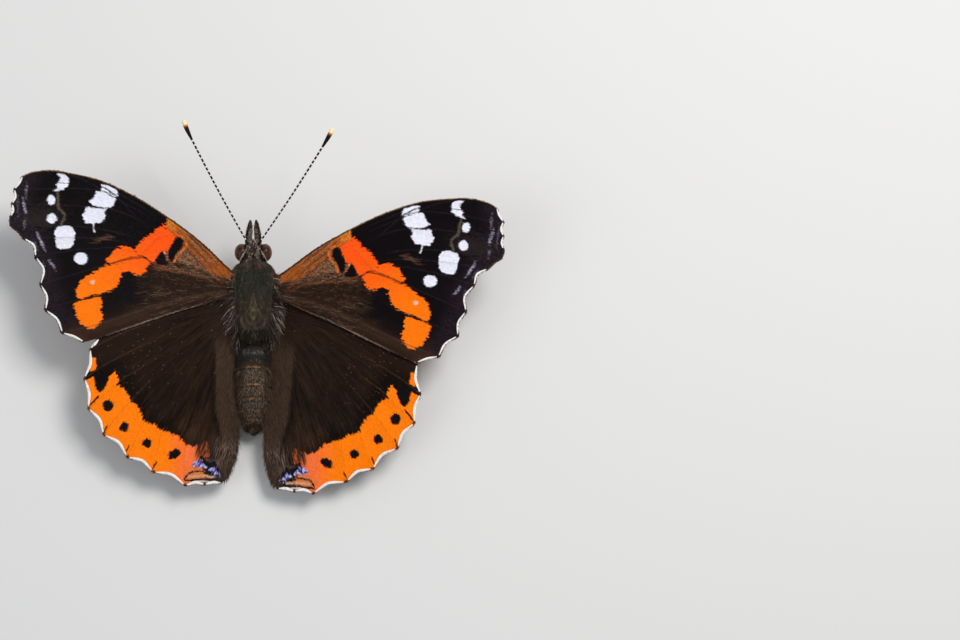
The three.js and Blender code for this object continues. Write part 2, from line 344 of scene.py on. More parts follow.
class Wing:
    """A wing as a flat patch between its hind edge, margin and front edge, from its root.

    Bays are how far the margin bends in from one vein to the next, and white says which of
    them have a white fringe. Poses give the root's place and the sweep of each side's wing.
    """

    def __init__(self, hind, margin, bays, white, front, veins, poses, fold, level):
        self.ends = ends = scaled(margin)
        self.white = np.array(white)
        t = np.linspace(0, 1, BAY_POINTS, endpoint=False)[:, None]
        line = []
        for start, end, bay in zip(ends[:-1], ends[1:], bays):
            reach = end - start
            inward = np.array([-reach[1], reach[0]]) * bay
            line.append(start + reach * t + inward * np.sin(np.pi * t) ** 1.5)
        self.margin_raw = np.concatenate(line + [ends[-1:]])
        self.margin = spaced(self.margin_raw, MARGIN_POINTS)
        self.hind = spaced(curve(scaled(hind)), EDGE_POINTS)
        self.front = spaced(curve(scaled(front))[::-1], EDGE_POINTS)
        self.veins = [curve(v) for v in veins]
        self.poses, self.fold, self.level = poses, fold, level
        self.reach = max(gaps(self.hind).sum(), gaps(self.front).sum())
        self.low = np.minimum(self.margin.min(0), self.front.min(0)) - 1
        self.size = np.maximum(self.margin.max(0), self.front.max(0)) + 1 - self.low

    def flat(self, u, v):
        """The flat place at u from root to margin and v from hind edge to front edge."""
        u, v = np.broadcast_arrays(np.asarray(u, float), np.asarray(v, float))
        hind, front, margin = at(self.hind, u), at(self.front, u), at(self.margin, v)
        u, v = u[..., None], v[..., None]
        h0, h1, f0, f1 = self.hind[0], self.hind[-1], self.front[0], self.front[-1]
        root = h0 + (f0 - h0) * v
        corners = (1 - u) * ((1 - v) * h0 + v * f0) + u * ((1 - v) * h1 + v * f1)
        return (1 - v) * hind + v * front + (1 - u) * root + u * margin - corners

    def heading(self, u, v, step, turn):
        """Flat directions away from the root, turned by angles."""
        h = unit(self.flat(np.minimum(u + step, 1), v) - self.flat(np.maximum(u - step, 0), v))
        c, s = np.cos(turn), np.sin(turn)
        return np.stack([h[:, 0] * c - h[:, 1] * s, h[:, 0] * s + h[:, 1] * c], axis=1)

    def near_vein(self, p):
        """Distance of flat points from the nearest vein."""
        return np.min([away(v, p, 1.5) for v in self.veins], axis=0)

    def level_at(self, p, near):
        """Height of the middle of the wing: raised, drooping, folded by the body and pleated."""
        x, y = p.T
        out = np.hypot(x, y)
        droop = WING_DROOP * (out / WING_LENGTH) ** 2
        fold = self.fold * np.maximum(0, FOLD_WIDTH - x) ** 2
        pleat = 0.12 * np.exp(-((near / 0.8) ** 2)) * ramp(out, 3, 12)
        ripple = 0.12 * noise(x / 3.5, y / 3.5, 5) * ramp(out, 8, 25)
        return WING_RAISE * x - droop - fold + pleat + ripple + self.level

    def place(self, side, p, z):
        """Flat points and heights moved to where this side's wing is, in the row frame."""
        (rx, ry, rz), sweep = self.poses[side]
        c, s = math.cos(math.radians(sweep)), math.sin(math.radians(sweep))
        x, y = p[..., 0], p[..., 1]
        body = np.stack([side * (rx + x * c - y * s), ry + x * s + y * c, rz + z], axis=-1)
        return to_world(body)

    def unwrap(self, p):
        """Where flat points lie in the bake map."""
        return 0.01 + 0.98 * (p - self.low) / self.size


FOREWING_VEINS = [
    [(0.3, 0.5), (4.3, 4.5), (10.4, 8.9), (15.7, 12.1), (17.1, 12.7)],
    [(0.8, -0.6), (2.0, 0.3), (2.9, 1.6), (4.0, 2.9), (5.1, 4.0), (6.4, 5.3), (7.5, 6.3), (10.4, 8.2),
     (14.2, 10.4), (19.1, 13.3), (22.4, 14.3)],
    [(8.4, 6.1), (11.7, 7.8), (14.8, 10.9), (16.9, 11.9), (21.1, 12.2), (25.7, 12.1), (28.5, 12.1)],
    [(9.3, 5.4), (12.4, 8.1), (16.1, 9.5), (18.3, 9.75), (23.7, 10.0), (28.8, 10.2)],
    [(10.4, 4.3), (13.7, 5.9), (18.4, 6.9), (23.7, 7.2), (28.9, 7.3)],
    [(10.9, 4.0), (13.5, 4.8), (17.0, 5.4), (21.7, 5.6), (25.0, 5.55), (27.2, 5.5)],
    [(12.0, 3.1), (12.7, 4.0), (15.7, 4.2), (20.5, 3.9), (25.7, 3.1)],
    [(10.4, 2.4), (11.3, 2.9), (12.4, 3.0), (14.4, 2.5), (15.7, 2.1), (20.4, 0.7), (24.9, -0.6)],
    [(7.7, 1.7), (11.7, -0.1), (16.7, -2.0), (19.7, -2.7), (24.3, -3.9)],
    [(0.4, -1.4), (6.4, -2.6), (11.7, -4.2), (17.1, -5.9), (22.1, -7.1)],
    [(1.2, -1.1), (2.7, -0.1), (3.7, 0.3), (5.1, 0.6), (6.4, 0.9), (7.5, 1.0), (8.7, 1.6), (10.4, 2.4)],
    [(0.3, 0.1), (4.3, 3.7), (7.1, 5.7), (9.3, 5.4), (10.4, 4.3), (12.0, 3.1)],
]
HINDWING_VEINS = [
    [(0.8, -0.5), (6.0, -1.2), (12.5, -3.0), (18.5, -5.7)],
    [(0.8, -0.8), (4.0, -2.4), (7.0, -3.6), (10.5, -4.9), (12.9, -6.0), (16.5, -7.9), (19.2, -9.7)],
    [(5.0, -3.2), (7.5, -5.6), (11.0, -7.9), (14.3, -9.9), (18.7, -13.7)],
    [(7.5, -5.6), (8.0, -7.4), (12.0, -11.5), (14.8, -14.6), (16.8, -17.2)],
    [(7.2, -8.9), (10.4, -13.6), (13.6, -20.2)],
    [(6.2, -9.3), (8.6, -15.4), (10.2, -22.1)],
    [(4.9, -8.2), (5.9, -15.5), (6.0, -24.0)],
    [(0.7, -1.6), (2.3, -10.0), (3.1, -17.0), (3.4, -23.9)],
    [(0.8, -1.0), (3.1, -4.4), (4.9, -8.2), (6.2, -9.3), (7.2, -8.9), (8.0, -7.4)],
]
FOREWING = Wing(
    hind=[(-0.045, -0.05), (0.0, -0.07), (0.118, -0.109), (0.252, -0.148), (0.489, -0.229),
          (0.634, -0.273)],
    margin=[(0.634, -0.273), (0.7255, -0.234), (0.798, -0.133), (0.8195, -0.022), (0.841, 0.1),
            (0.892, 0.181), (0.947, 0.236), (0.951, 0.278), (0.944, 0.334), (0.935, 0.398),
            (0.9, 0.457)],
    bays=[0.07, 0.14, 0.15, 0.2, 0.22, 0.05, -0.06, 0.16, 0.17, 0.08],
    white=[1, 1, 1, 1, 1, 0, 0, 1, 1, 1],
    front=[(0.9, 0.457), (0.865, 0.473), (0.817, 0.481), (0.769, 0.482), (0.699, 0.471),
           (0.557, 0.436), (0.407, 0.364), (0.262, 0.27), (0.125, 0.165), (0.0, 0.045),
           (-0.045, 0.02)],
    veins=FOREWING_VEINS,
    poses={-1: ((3.12, 2.47, 1.6), -0.3), 1: ((3.76, 2.03, 1.6), -7.7)},
    fold=0.0,
    level=-0.3,
)
HINDWING = Wing(
    hind=[(-0.034, -0.02), (-0.036, -0.083), (-0.036, -0.19), (-0.0355, -0.4), (-0.0335, -0.52),
          (-0.024, -0.638), (0.005, -0.734), (0.038, -0.778)],
    margin=[(0.038, -0.778), (0.112, -0.785), (0.195, -0.789), (0.335, -0.728), (0.447, -0.664),
            (0.549, -0.566), (0.615, -0.452), (0.632, -0.321), (0.608, -0.19), (0.571, -0.149)],
    bays=[0.13, 0.18, 0.15, 0.165, 0.165, 0.155, 0.11, 0.12, 0.1],
    white=[1, 1, 1, 1, 1, 1, 1, 1, 1],
    front=[(0.571, -0.149), (0.52, -0.075), (0.394, 0.007), (0.197, 0.052), (0.03, 0.05),
           (-0.034, 0.04)],
    veins=HINDWING_VEINS,
    poses={-1: ((3.06, -0.99, 0.5), 0.0), 1: ((3.82, -1.77, 0.5), -4.3)},
    fold=0.05,
    level=0.3,
)


# Markings of the wings.

INK = (12, 7, 11)
WHITE = (232, 233, 246)


def teeth(p, seed, deep=0.22):
    """How far an edge of colour shifts, in fine teeth that point away from the root."""
    bearing = np.arctan2(p[:, 1], p[:, 0])
    out = np.hypot(p[:, 0], p[:, 1])
    coarse, fine = noise(bearing * 100, out / 0.8, seed), noise(bearing * 190, out / 0.5, seed)
    return deep * (coarse + 0.7 * fine)


def edge(depth, soft=0.08):
    """Full paint inside an outline, none outside, and a narrow soft edge."""
    return np.clip(depth / soft + 0.5, 0, 1)


RED_BAND = [(8.93, 7.09), (9.33, 6.8), (9.73, 6.4), (10.4, 6.07), (10.93, 5.8), (11.33, 5.27),
            (11.73, 4.87), (12.13, 4.3), (12.4, 3.8), (12.0, 3.1), (11.3, 2.9), (10.5, 2.4),
            (9.93, 2.2), (9.73, 2.4), (9.46, 2.93), (9.13, 3.4), (8.8, 3.6), (8.6, 3.45), (8.2, 3.8),
            (7.93, 3.95), (7.66, 4.27), (7.4, 4.8), (7.1, 5.33), (6.8, 5.75), (7.46, 6.2), (8.13, 6.65),
            (8.6, 7.0)]
MIDDLE_BAND = [(16.1, 2.5), (15.7, 3.0), (15.3, 3.7), (14.8, 4.1), (14.1, 4.3), (13.5, 4.3),
               (12.8, 4.1), (12.4, 3.9), (12.0, 3.1), (13.1, 2.8), (14.4, 2.5), (15.6, 2.1)]
LONG_BAND = [(11.3, 2.8), (10.4, 2.4), (10.45, 1.95), (10.8, 1.53), (11.2, 1.0), (11.6, 0.65),
             (12.1, 0.6), (12.7, 0.8), (13.5, 0.9), (14.0, 0.9), (14.3, 0.1), (14.9, -0.9),
             (15.7, -1.5), (16.7, -1.9), (17.9, -2.2), (18.9, -2.5), (19.7, -2.7), (20.1, -2.2),
             (20.1, -1.3), (19.7, -0.5), (19.1, 0.2), (18.4, 0.7), (17.5, 1.1), (16.7, 1.7),
             (15.6, 2.0), (14.4, 2.3), (12.9, 2.7)]
BAND_SEAM = np.array([(11.5, 2.85), (12.9, 2.76), (14.4, 2.4), (15.5, 2.08)])
LAST_BAND = [(19.9, -2.8), (18.9, -2.6), (17.7, -2.4), (16.9, -2.5), (16.8, -3.1), (16.8, -4.2),
             (16.7, -5.0), (16.9, -5.8), (17.5, -6.3), (18.3, -6.6), (19.2, -6.1), (19.9, -5.3),
             (20.3, -4.2), (20.4, -3.4)]
CELL_BAR = [(6.8, 5.6), (6.4, 5.47), (6.07, 5.13), (6.07, 4.73), (6.27, 4.13), (6.67, 3.67),
            (6.93, 3.2), (7.2, 2.73), (7.46, 2.27), (7.73, 2.47), (8.0, 2.8), (8.06, 3.27),
            (7.93, 3.8), (7.66, 4.27), (7.4, 4.8), (7.13, 5.33)]
CELL_TOOTH = [(8.8, 3.6), (8.6, 3.27), (8.4, 2.93), (8.33, 2.53), (8.0, 2.2), (8.13, 1.8),
              (8.66, 1.8), (9.2, 1.93), (9.6, 2.13), (9.73, 2.4), (9.46, 2.93), (9.13, 3.4)]
BAR_RING = [(6.5, 5.75), (5.95, 5.4), (5.6, 4.53), (6.0, 3.87), (6.4, 3.53), (6.8, 3.07),
            (7.06, 2.6), (7.33, 2.07)]
COSTAL_STRIP = [(8.1, 7.95), (6.93, 7.5), (5.07, 6.2), (3.07, 4.3), (1.47, 2.7), (0.0, 1.1),
                (-0.2, 0.07), (1.07, -0.17), (2.13, 0.77), (3.33, 2.23), (4.4, 3.43), (5.6, 4.63),
                (6.86, 5.7), (8.0, 6.6), (8.3, 7.26)]
FRONT_SLIVERS = [
    [(16.8, 12.53), (16.13, 12.46), (15.46, 12.26), (14.9, 12.0), (14.7, 11.46), (14.6, 11.05),
     (15.06, 11.2), (15.73, 11.71), (16.4, 12.2)],
    [(17.0, 12.2), (16.4, 12.08), (15.73, 11.64), (14.9, 11.04), (15.33, 11.08), (16.0, 11.4),
     (16.8, 11.84)],
]
UPPER_BAR = [(17.4, 11.72), (16.93, 11.7), (16.53, 11.5), (15.73, 11.15), (14.9, 10.8), (15.06, 10.4),
             (15.26, 10.0), (15.73, 9.53), (16.26, 9.58), (17.06, 9.66), (17.73, 9.76), (18.13, 9.93),
             (18.25, 10.2), (18.38, 10.6), (17.9, 10.86), (17.78, 11.26), (17.5, 11.53)]
LOWER_BAR = [(18.26, 9.71), (17.73, 9.6), (17.06, 9.5), (16.53, 9.44), (16.06, 9.44), (16.33, 9.13),
             (16.4, 8.8), (16.26, 8.53), (16.53, 8.06), (16.8, 7.8), (17.0, 7.53), (17.6, 7.5),
             (18.4, 7.5), (18.95, 7.56), (18.98, 7.86), (19.2, 8.13), (19.42, 8.53), (19.2, 9.0),
             (18.98, 9.4), (18.68, 9.62)]
FRONT_MARK = [(22.8, 14.22), (22.3, 14.18), (21.59, 14.03), (21.16, 13.53), (21.22, 13.09),
              (21.3, 12.6), (21.82, 12.15), (22.39, 11.92), (23.19, 11.86), (22.7, 12.33),
              (22.83, 12.76), (22.42, 13.2), (22.3, 13.69), (22.7, 14.02)]
WHITE_SPOTS = [((23.5, 10.66), (0.51, 0.63)), ((23.42, 8.2), (0.63, 0.7)),
               ((19.55, 2.84), (0.92, 0.81))]
SQUARE_SPOT = [(22.8, 6.88), (22.13, 7.11), (21.19, 7.15), (20.57, 6.8), (20.3, 6.07), (20.5, 5.0),
               (20.9, 4.3), (21.73, 4.1), (22.55, 4.25), (22.9, 4.87), (22.9, 5.67), (23.08, 6.2)]
# Thin pale marks by the margin: place, half length, turn in degrees and strength.
MARGIN_MARKS = [((27.0, 9.8), 0.9, -10, 0.9), ((24.8, 5.07), 0.95, -26, 1.0),
                ((23.4, 2.1), 0.55, -33, 0.8), ((26.75, 12.0), 0.9, 2, 0.35),
                ((27.9, 10.0), 1.3, 0, 0.2), ((27.0, 7.6), 0.5, 0, 0.35),
                ((25.5, 4.7), 0.6, -25, 0.25), ((24.4, 1.9), 0.5, -20, 0.25)]


def white_marks(p, shift):
    """How deep each point lies in the forewing's white marks."""
    outlines = (UPPER_BAR, LOWER_BAR, FRONT_MARK, SQUARE_SPOT, *FRONT_SLIVERS)
    marks = [within(outline, p) for outline in outlines]
    marks += [spot(p, centre, half) for centre, half in WHITE_SPOTS]
    marks.append(0.08 - away(np.array([(17.85, 7.6), (17.9, 6.9), (17.75, 6.4)]), p))
    x, y = p.T
    distal = ramp(x + 0.4 * y, 20.4, 21.6) * ramp(y, 7.3, 8.0) * ramp(x, 20.5, 19.5)
    deep = np.max(marks, axis=0) + shift * (0.25 + 0.5 * distal)
    splits = [away(np.array(line), p) for line in (
        [(17.3, 12.1), (16.8, 11.84), (14.5, 11.02)], [(16.9, 12.45), (16.2, 12.15), (14.6, 11.0)],
        [(18.4, 9.9), (17.06, 9.6), (15.5, 9.5)], [(22.7, 12.97), (21.2, 12.9)])]
    return np.minimum(deep, np.min(splits, axis=0) - 0.055)


def band_marks(p, shift):
    """How deep each point lies in the forewing's orange band."""
    bands = [within(outline, p) for outline in (RED_BAND, MIDDLE_BAND, LONG_BAND, LAST_BAND)]
    deep = np.max(bands, axis=0)
    return np.maximum(deep + shift * (np.abs(deep) < 0.6), 0.2 - away(BAND_SEAM, p))


def band_colour(p):
    """Red by the front edge, more yellow by the hind corner."""
    t = ramp((p[:, 0] - 8) * 0.8 - (p[:, 1] - 5) * 0.6, 0, 13)
    return laid(plain((255, 88, 18), len(p)), (255, 122, 8), t)


def forewing_top(p):
    """Colours of the forewing's upper side."""
    x, y = p.T
    out = np.hypot(x, y)
    shift = teeth(p, 1)
    fine = noise(x / 0.16, y / 0.16, 2)
    grain = random.random(len(p))
    streak = noise(np.arctan2(y, x) * 60, out / 1.6, 8)
    rim = away(FOREWING.margin, p, 4.0)
    near = FOREWING.near_vein(p)
    c = plain(INK, len(p))
    # Violet towards the margin: painted sheen on the black scales.
    c = laid(c, (42, 30, 40), ramp(rim, 3.4, 0.8) * (0.5 + 0.4 * fine))
    # Paler veins in the outer black: painted highlight on the raised veins.
    c = laid(c, (40, 33, 38), ramp(near, 0.1, 0.03) * ramp(out, 12, 17) * 0.5)
    hind = ramp(away(FOREWING.hind, p, 5.0) + 0.5 * noise(x / 2, y / 0.7, 4), 3.8, 1.0)
    brown = np.maximum(hind, ramp(out + noise(x, y, 6), 13.5, 7.5) * ramp(y - 0.4 * x, 1.0, -1.5))
    c = laid(c, (48, 28, 18), brown * (0.85 + 0.15 * streak))
    c = laid(c, (76, 44, 36), ramp(rim, 1.3, 0.3) * hind * (0.5 + 0.3 * fine))
    c = laid(c, (108, 82, 58), (grain > 0.86) * ramp(out, 17, 6) * brown * 0.6)
    c = laid(c, (60, 44, 30), ramp(np.abs(away(FOREWING.hind, p) - 1.3), 0.9, 0.2) * 0.5)
    pale_edge = ramp(away(FOREWING.hind, p), 0.2, 0.05) * ramp(out, 18.5, 15.0) * ramp(out, 4.5, 6.0)
    c = laid(c, (148, 128, 116), pale_edge * (0.6 + 0.25 * fine) * (1 - 0.4 * ramp(out, 12, 16)))
    cell = ramp(out, 10.6, 8.6) * edge(y - 0.16 * x + 0.2, 0.5)
    c = laid(c, (66, 43, 30), cell)
    c = laid(c, (158, 128, 100), (grain > 0.6) * cell * (0.3 + 0.4 * grain))
    c = laid(c, (150, 76, 30), (grain < 0.22) * cell * 0.7)
    c = laid(c, (120, 62, 24), cell * ramp(out, 8.0, 9.2) * (0.6 + 0.4 * fine))
    strip = edge(within(COSTAL_STRIP, p) + 0.15 * fine, 0.25)
    c = laid(c, (168, 88, 28), strip * (0.9 + 0.1 * fine))
    speckled = strip * ramp(out, 2.2, 3.6) * ramp(out, 9.6, 8.2)
    c = laid(c, (92, 66, 36), speckled * ramp(streak + 1.3 * grain, 0.5, 0.9) * 0.9)
    c = laid(c, (176, 124, 92), speckled * (grain > 0.7) * 0.7)
    c = laid(c, (96, 44, 14), strip * ramp(streak, 0.2, 0.5) * 0.7)
    c = laid(c, (236, 140, 54), strip * ramp(out, 8.8, 10.2) * (0.55 + 0.45 * fine))
    for k, colour in ((1, (172, 84, 28)), (10, (140, 76, 32)), (11, (112, 62, 28))):
        line = ramp(away(FOREWING.veins[k], p), 0.24, 0.08) * ramp(out, 10.4, 9.4)
        c = laid(c, colour, line * (0.5 + 0.5 * fine))
    c = laid(c, (110, 48, 14), ramp(np.abs(away(FOREWING.veins[1], p) - 0.36), 0.14, 0.05)
             * ramp(out, 8.6, 7.6) * 0.7)
    ring = ramp(away(curve(BAR_RING), p), 0.2, 0.08)
    c = laid(c, (226, 108, 34), ring * (0.35 + 0.65 * (fine > 0.0)))
    c = laid(c, (54, 45, 44), edge(spot(p, (24.8, 8.4), (2.7, 1.5)) + 0.9 * fine, 1.4) * 0.45)
    mark = spot(p, (16.6, 5.4), (1.1, 0.28), -14) + 0.25 * noise(x / 0.5, y / 0.12, 7)
    c = laid(c, (120, 82, 66), edge(mark, 0.3) * (0.2 + 0.4 * grain))
    c = laid(c, (46, 28, 16), ramp(away(FOREWING.front, p), 0.3, 0.12) * 0.9)
    # A thin cream line on the outer front edge: painted highlight along the edge.
    c = laid(c, (176, 148, 104), ramp(away(FOREWING.front, p), 0.1, 0.03) * ramp(out, 10, 13) * 0.8)
    band = edge(band_marks(p, shift))
    c = laid(c, band_colour(p), band)
    for k in (7, 8):
        c = laid(c, (120, 44, 12), ramp(away(FOREWING.veins[k], p), 0.12, 0.04) * band * 0.6)
    c = laid(c, (205, 66, 12), ramp(away(FOREWING.veins[11], p), 0.1, 0.03) * band * 0.5)
    c = laid(c, (90, 34, 12), ramp(away(BAND_SEAM, p), 0.12, 0.05) * 0.8)
    c = laid(c, (255, 190, 165), edge(spot(p, (18.0, -0.35), (0.32, 0.26)) + 0.06 * fine, 0.15))
    c = laid(c, INK, edge(np.maximum(within(CELL_BAR, p), within(CELL_TOOTH, p)) + shift * 0.4))
    dots = ramp(away(np.array([(8.49, 3.6), (8.26, 3.0), (8.18, 2.4)]), p), 0.14, 0.06)
    c = laid(c, (240, 140, 96), dots * (fine > 0.0))
    arc = away(curve([(22.8, 12.0), (22.55, 10.7), (22.55, 9.7), (22.1, 9.2), (21.75, 8.5),
                      (22.1, 7.4)]), p)
    c = laid(c, (98, 86, 72), ramp(arc + 0.12 * fine, 0.26, 0.06) * 0.75)
    marks = edge(white_marks(p, shift))
    c = laid(c, WHITE, marks)
    c = laid(c, (196, 196, 206), ramp(away(FOREWING.veins[5], p), 0.09, 0.03) * marks * 0.8)
    for centre, half, turn, amount in MARGIN_MARKS:
        mark = spot(p, centre, (0.15, half), turn) + 0.07 * fine + 0.1 * (grain - 0.5)
        c = laid(c, (190, 184, 212), edge(mark, 0.16) * amount * (0.15 + 0.7 * grain))
    # Paler veins in the brown: painted highlight on the raised veins.
    c = laid(c, (70, 50, 46), ramp(near, 0.1, 0.03) * brown * 0.6)
    return laid(c, (26, 17, 17), ramp(rim, 0.3, 0.2) * 0.9)


def forewing_under(p):
    """Colours of the forewing's lower side."""
    x, y = p.T
    out = np.hypot(x, y)
    shift = teeth(p, 11)
    fine = noise(x / 0.18, y / 0.18, 12)
    cloud = noise(x / 1.1, y / 1.1, 13)
    rim = away(FOREWING.margin, p, 4.0)
    c = plain((24, 17, 18), len(p))
    apex = ramp(x + 0.5 * y + 0.8 * cloud, 22.0, 24.0) * ramp(y, 2.5, 4.5)
    c = laid(c, (126, 98, 60), apex * (0.85 + 0.15 * fine))
    c = laid(c, (216, 196, 158), apex * ramp(cloud, 0.35, 0.7) * 0.8)
    c = laid(c, (64, 50, 34), apex * ramp(cloud, -0.3, -0.6) * 0.8)
    margin = ramp(rim, 2.8, 2.0)
    c = laid(c, (150, 136, 142), margin * (0.7 + 0.3 * fine))
    waves = np.abs(np.sin(rim * 3.3 + 0.5 * cloud))
    c = laid(c, (38, 28, 30), margin * ramp(waves, 0.45, 0.15))
    hind = ramp(away(FOREWING.hind, p, 5.0), 4.6, 2.5)
    c = laid(c, (134, 122, 112), hind * (0.8 + 0.2 * fine))
    band = edge(band_marks(p, shift))
    c = laid(c, laid(band_colour(p), (246, 120, 84), ramp(x, 13, 8) * 0.7), band)
    c = laid(c, (232, 84, 40), edge(0.3 - away(curve([(3.5, 1.2), (6.6, 3.2), (7.2, 4.6)]), p)))
    c = laid(c, (232, 84, 40), edge(0.25 - away(curve([(9.6, 3.2), (8.4, 1.4), (8.6, 0.6)]), p)))
    arc = away(curve([(15.3, 9.0), (13.2, 9.4), (11.6, 8.2), (11.9, 6.4), (13.4, 5.8)]), p)
    c = laid(c, (150, 170, 200), ramp(arc + 0.08 * fine, 0.26, 0.1) * 0.9)
    front = away(FOREWING.front, p, 3.0)
    bars = ramp(np.sin(out * 6.0), -0.2, 0.3)
    barred = laid(plain((122, 128, 152), len(p)), INK, bars)
    c = laid(c, barred, ramp(front, 1.1, 0.8) * ramp(out, 11.5, 10.5))
    c = laid(c, (224, 196, 140), edge(spot(p, (9.4, 8.2), (1.2, 0.9), 35) + 0.2 * fine, 0.4))
    for centre, half in WHITE_SPOTS[:2]:
        ring = spot(p, centre, (half[0] * 2.2, half[1] * 2.0))
        c = laid(c, (72, 60, 44), edge(0.12 - np.abs(ring), 0.1) * 0.9)
    c = laid(c, WHITE, edge(white_marks(p, shift)))
    near = FOREWING.near_vein(p)
    return laid(c, (150, 120, 90), ramp(near, 0.14, 0.04) * 0.35)


BAND_EDGE = [(18.8, -9.9), (18.2, -9.6), (16.0, -9.5), (15.6, -9.1), (15.2, -8.9), (14.6, -9.9),
             (14.9, -10.5), (14.0, -11.1), (13.2, -12.1), (13.2, -12.8), (12.2, -13.3),
             (11.8, -14.1), (11.4, -14.9), (11.6, -15.3), (10.8, -15.6), (10.0, -15.7),
             (9.2, -16.4), (8.2, -16.8), (7.4, -17.1), (6.8, -17.3), (6.2, -18.0), (5.7, -18.5),
             (4.9, -18.7), (3.8, -18.4), (3.0, -18.1), (2.6, -18.8), (2.8, -20.0), (3.8, -20.3)]
BAND_OUTSIDE = [(5.2, -22.2), (5.9, -24.5), (11.0, -24.0), (17.0, -21.0), (20.5, -15.0),
                (20.5, -10.3)]
BLACK_LOBE = [(18.0, -9.1), (17.8, -10.7), (17.3, -11.5), (16.9, -11.5), (16.4, -10.8),
              (16.0, -9.9), (16.0, -8.8)]
SMALL_PATCH = [(18.2, -6.8), (17.8, -6.8), (17.6, -7.7), (17.7, -8.4), (18.4, -8.7), (18.5, -7.7)]
# Oval dots: place, half sizes and turn in degrees.
BLACK_DOTS = [((16.1, -13.3), (0.72, 0.78), 0), ((14.0, -16.1), (0.58, 0.66), 0),
              ((11.0, -18.3), (0.68, 0.6), 20), ((7.4, -19.7), (0.9, 0.6), -35)]
# Short dark marks at the margin: both ends and half width.
TICKS = [((18.6, -13.4), (17.3, -12.0), 0.12), ((16.6, -16.9), (16.2, -16.0), 0.09),
         ((13.7, -19.5), (13.3, -18.6), 0.09), ((10.2, -21.7), (9.7, -20.8), 0.09),
         ((6.0, -23.2), (5.7, -22.3), 0.09)]
BLUE_OUTER = [(3.83, -20.26), (3.43, -21.06), (3.16, -21.59), (3.83, -21.46), (4.76, -21.46),
              (5.09, -21.06), (4.49, -20.73)]
BLUE_INNER = [(2.23, -21.46), (1.83, -21.99), (1.29, -22.39), (1.16, -22.93), (1.96, -22.66),
              (2.36, -22.13), (2.76, -21.86)]
CORNER = [(6.0, -22.3), (3.9, -20.6), (2.8, -20.4), (0.5, -20.6), (0.6, -24.6), (6.3, -24.6)]
CORNER_BLACK = [(3.83, -20.13), (3.43, -20.79), (2.76, -21.06), (2.09, -20.93), (1.83, -21.59),
                (1.29, -22.26), (1.03, -23.19), (1.96, -22.93), (2.89, -21.99), (3.29, -21.73)]

# Lines in the corner of the hindwing: points, half width and colour.
CORNER_LINES = [
    ([(5.96, -23.1), (5.56, -22.46), (5.03, -22.13), (3.83, -22.0), (3.16, -22.33), (2.49, -22.66)],
     0.1, INK),
    ([(5.4, -22.75), (3.8, -22.65), (2.2, -22.8)], 0.13, (206, 160, 122)),
    ([(5.3, -23.65), (4.4, -23.45), (3.4, -23.38), (2.5, -23.5), (1.7, -23.65)],
     0.12, (206, 200, 196)),
    ([(5.9, -23.3), (4.1, -23.12), (2.0, -23.2)], 0.13, INK),
]


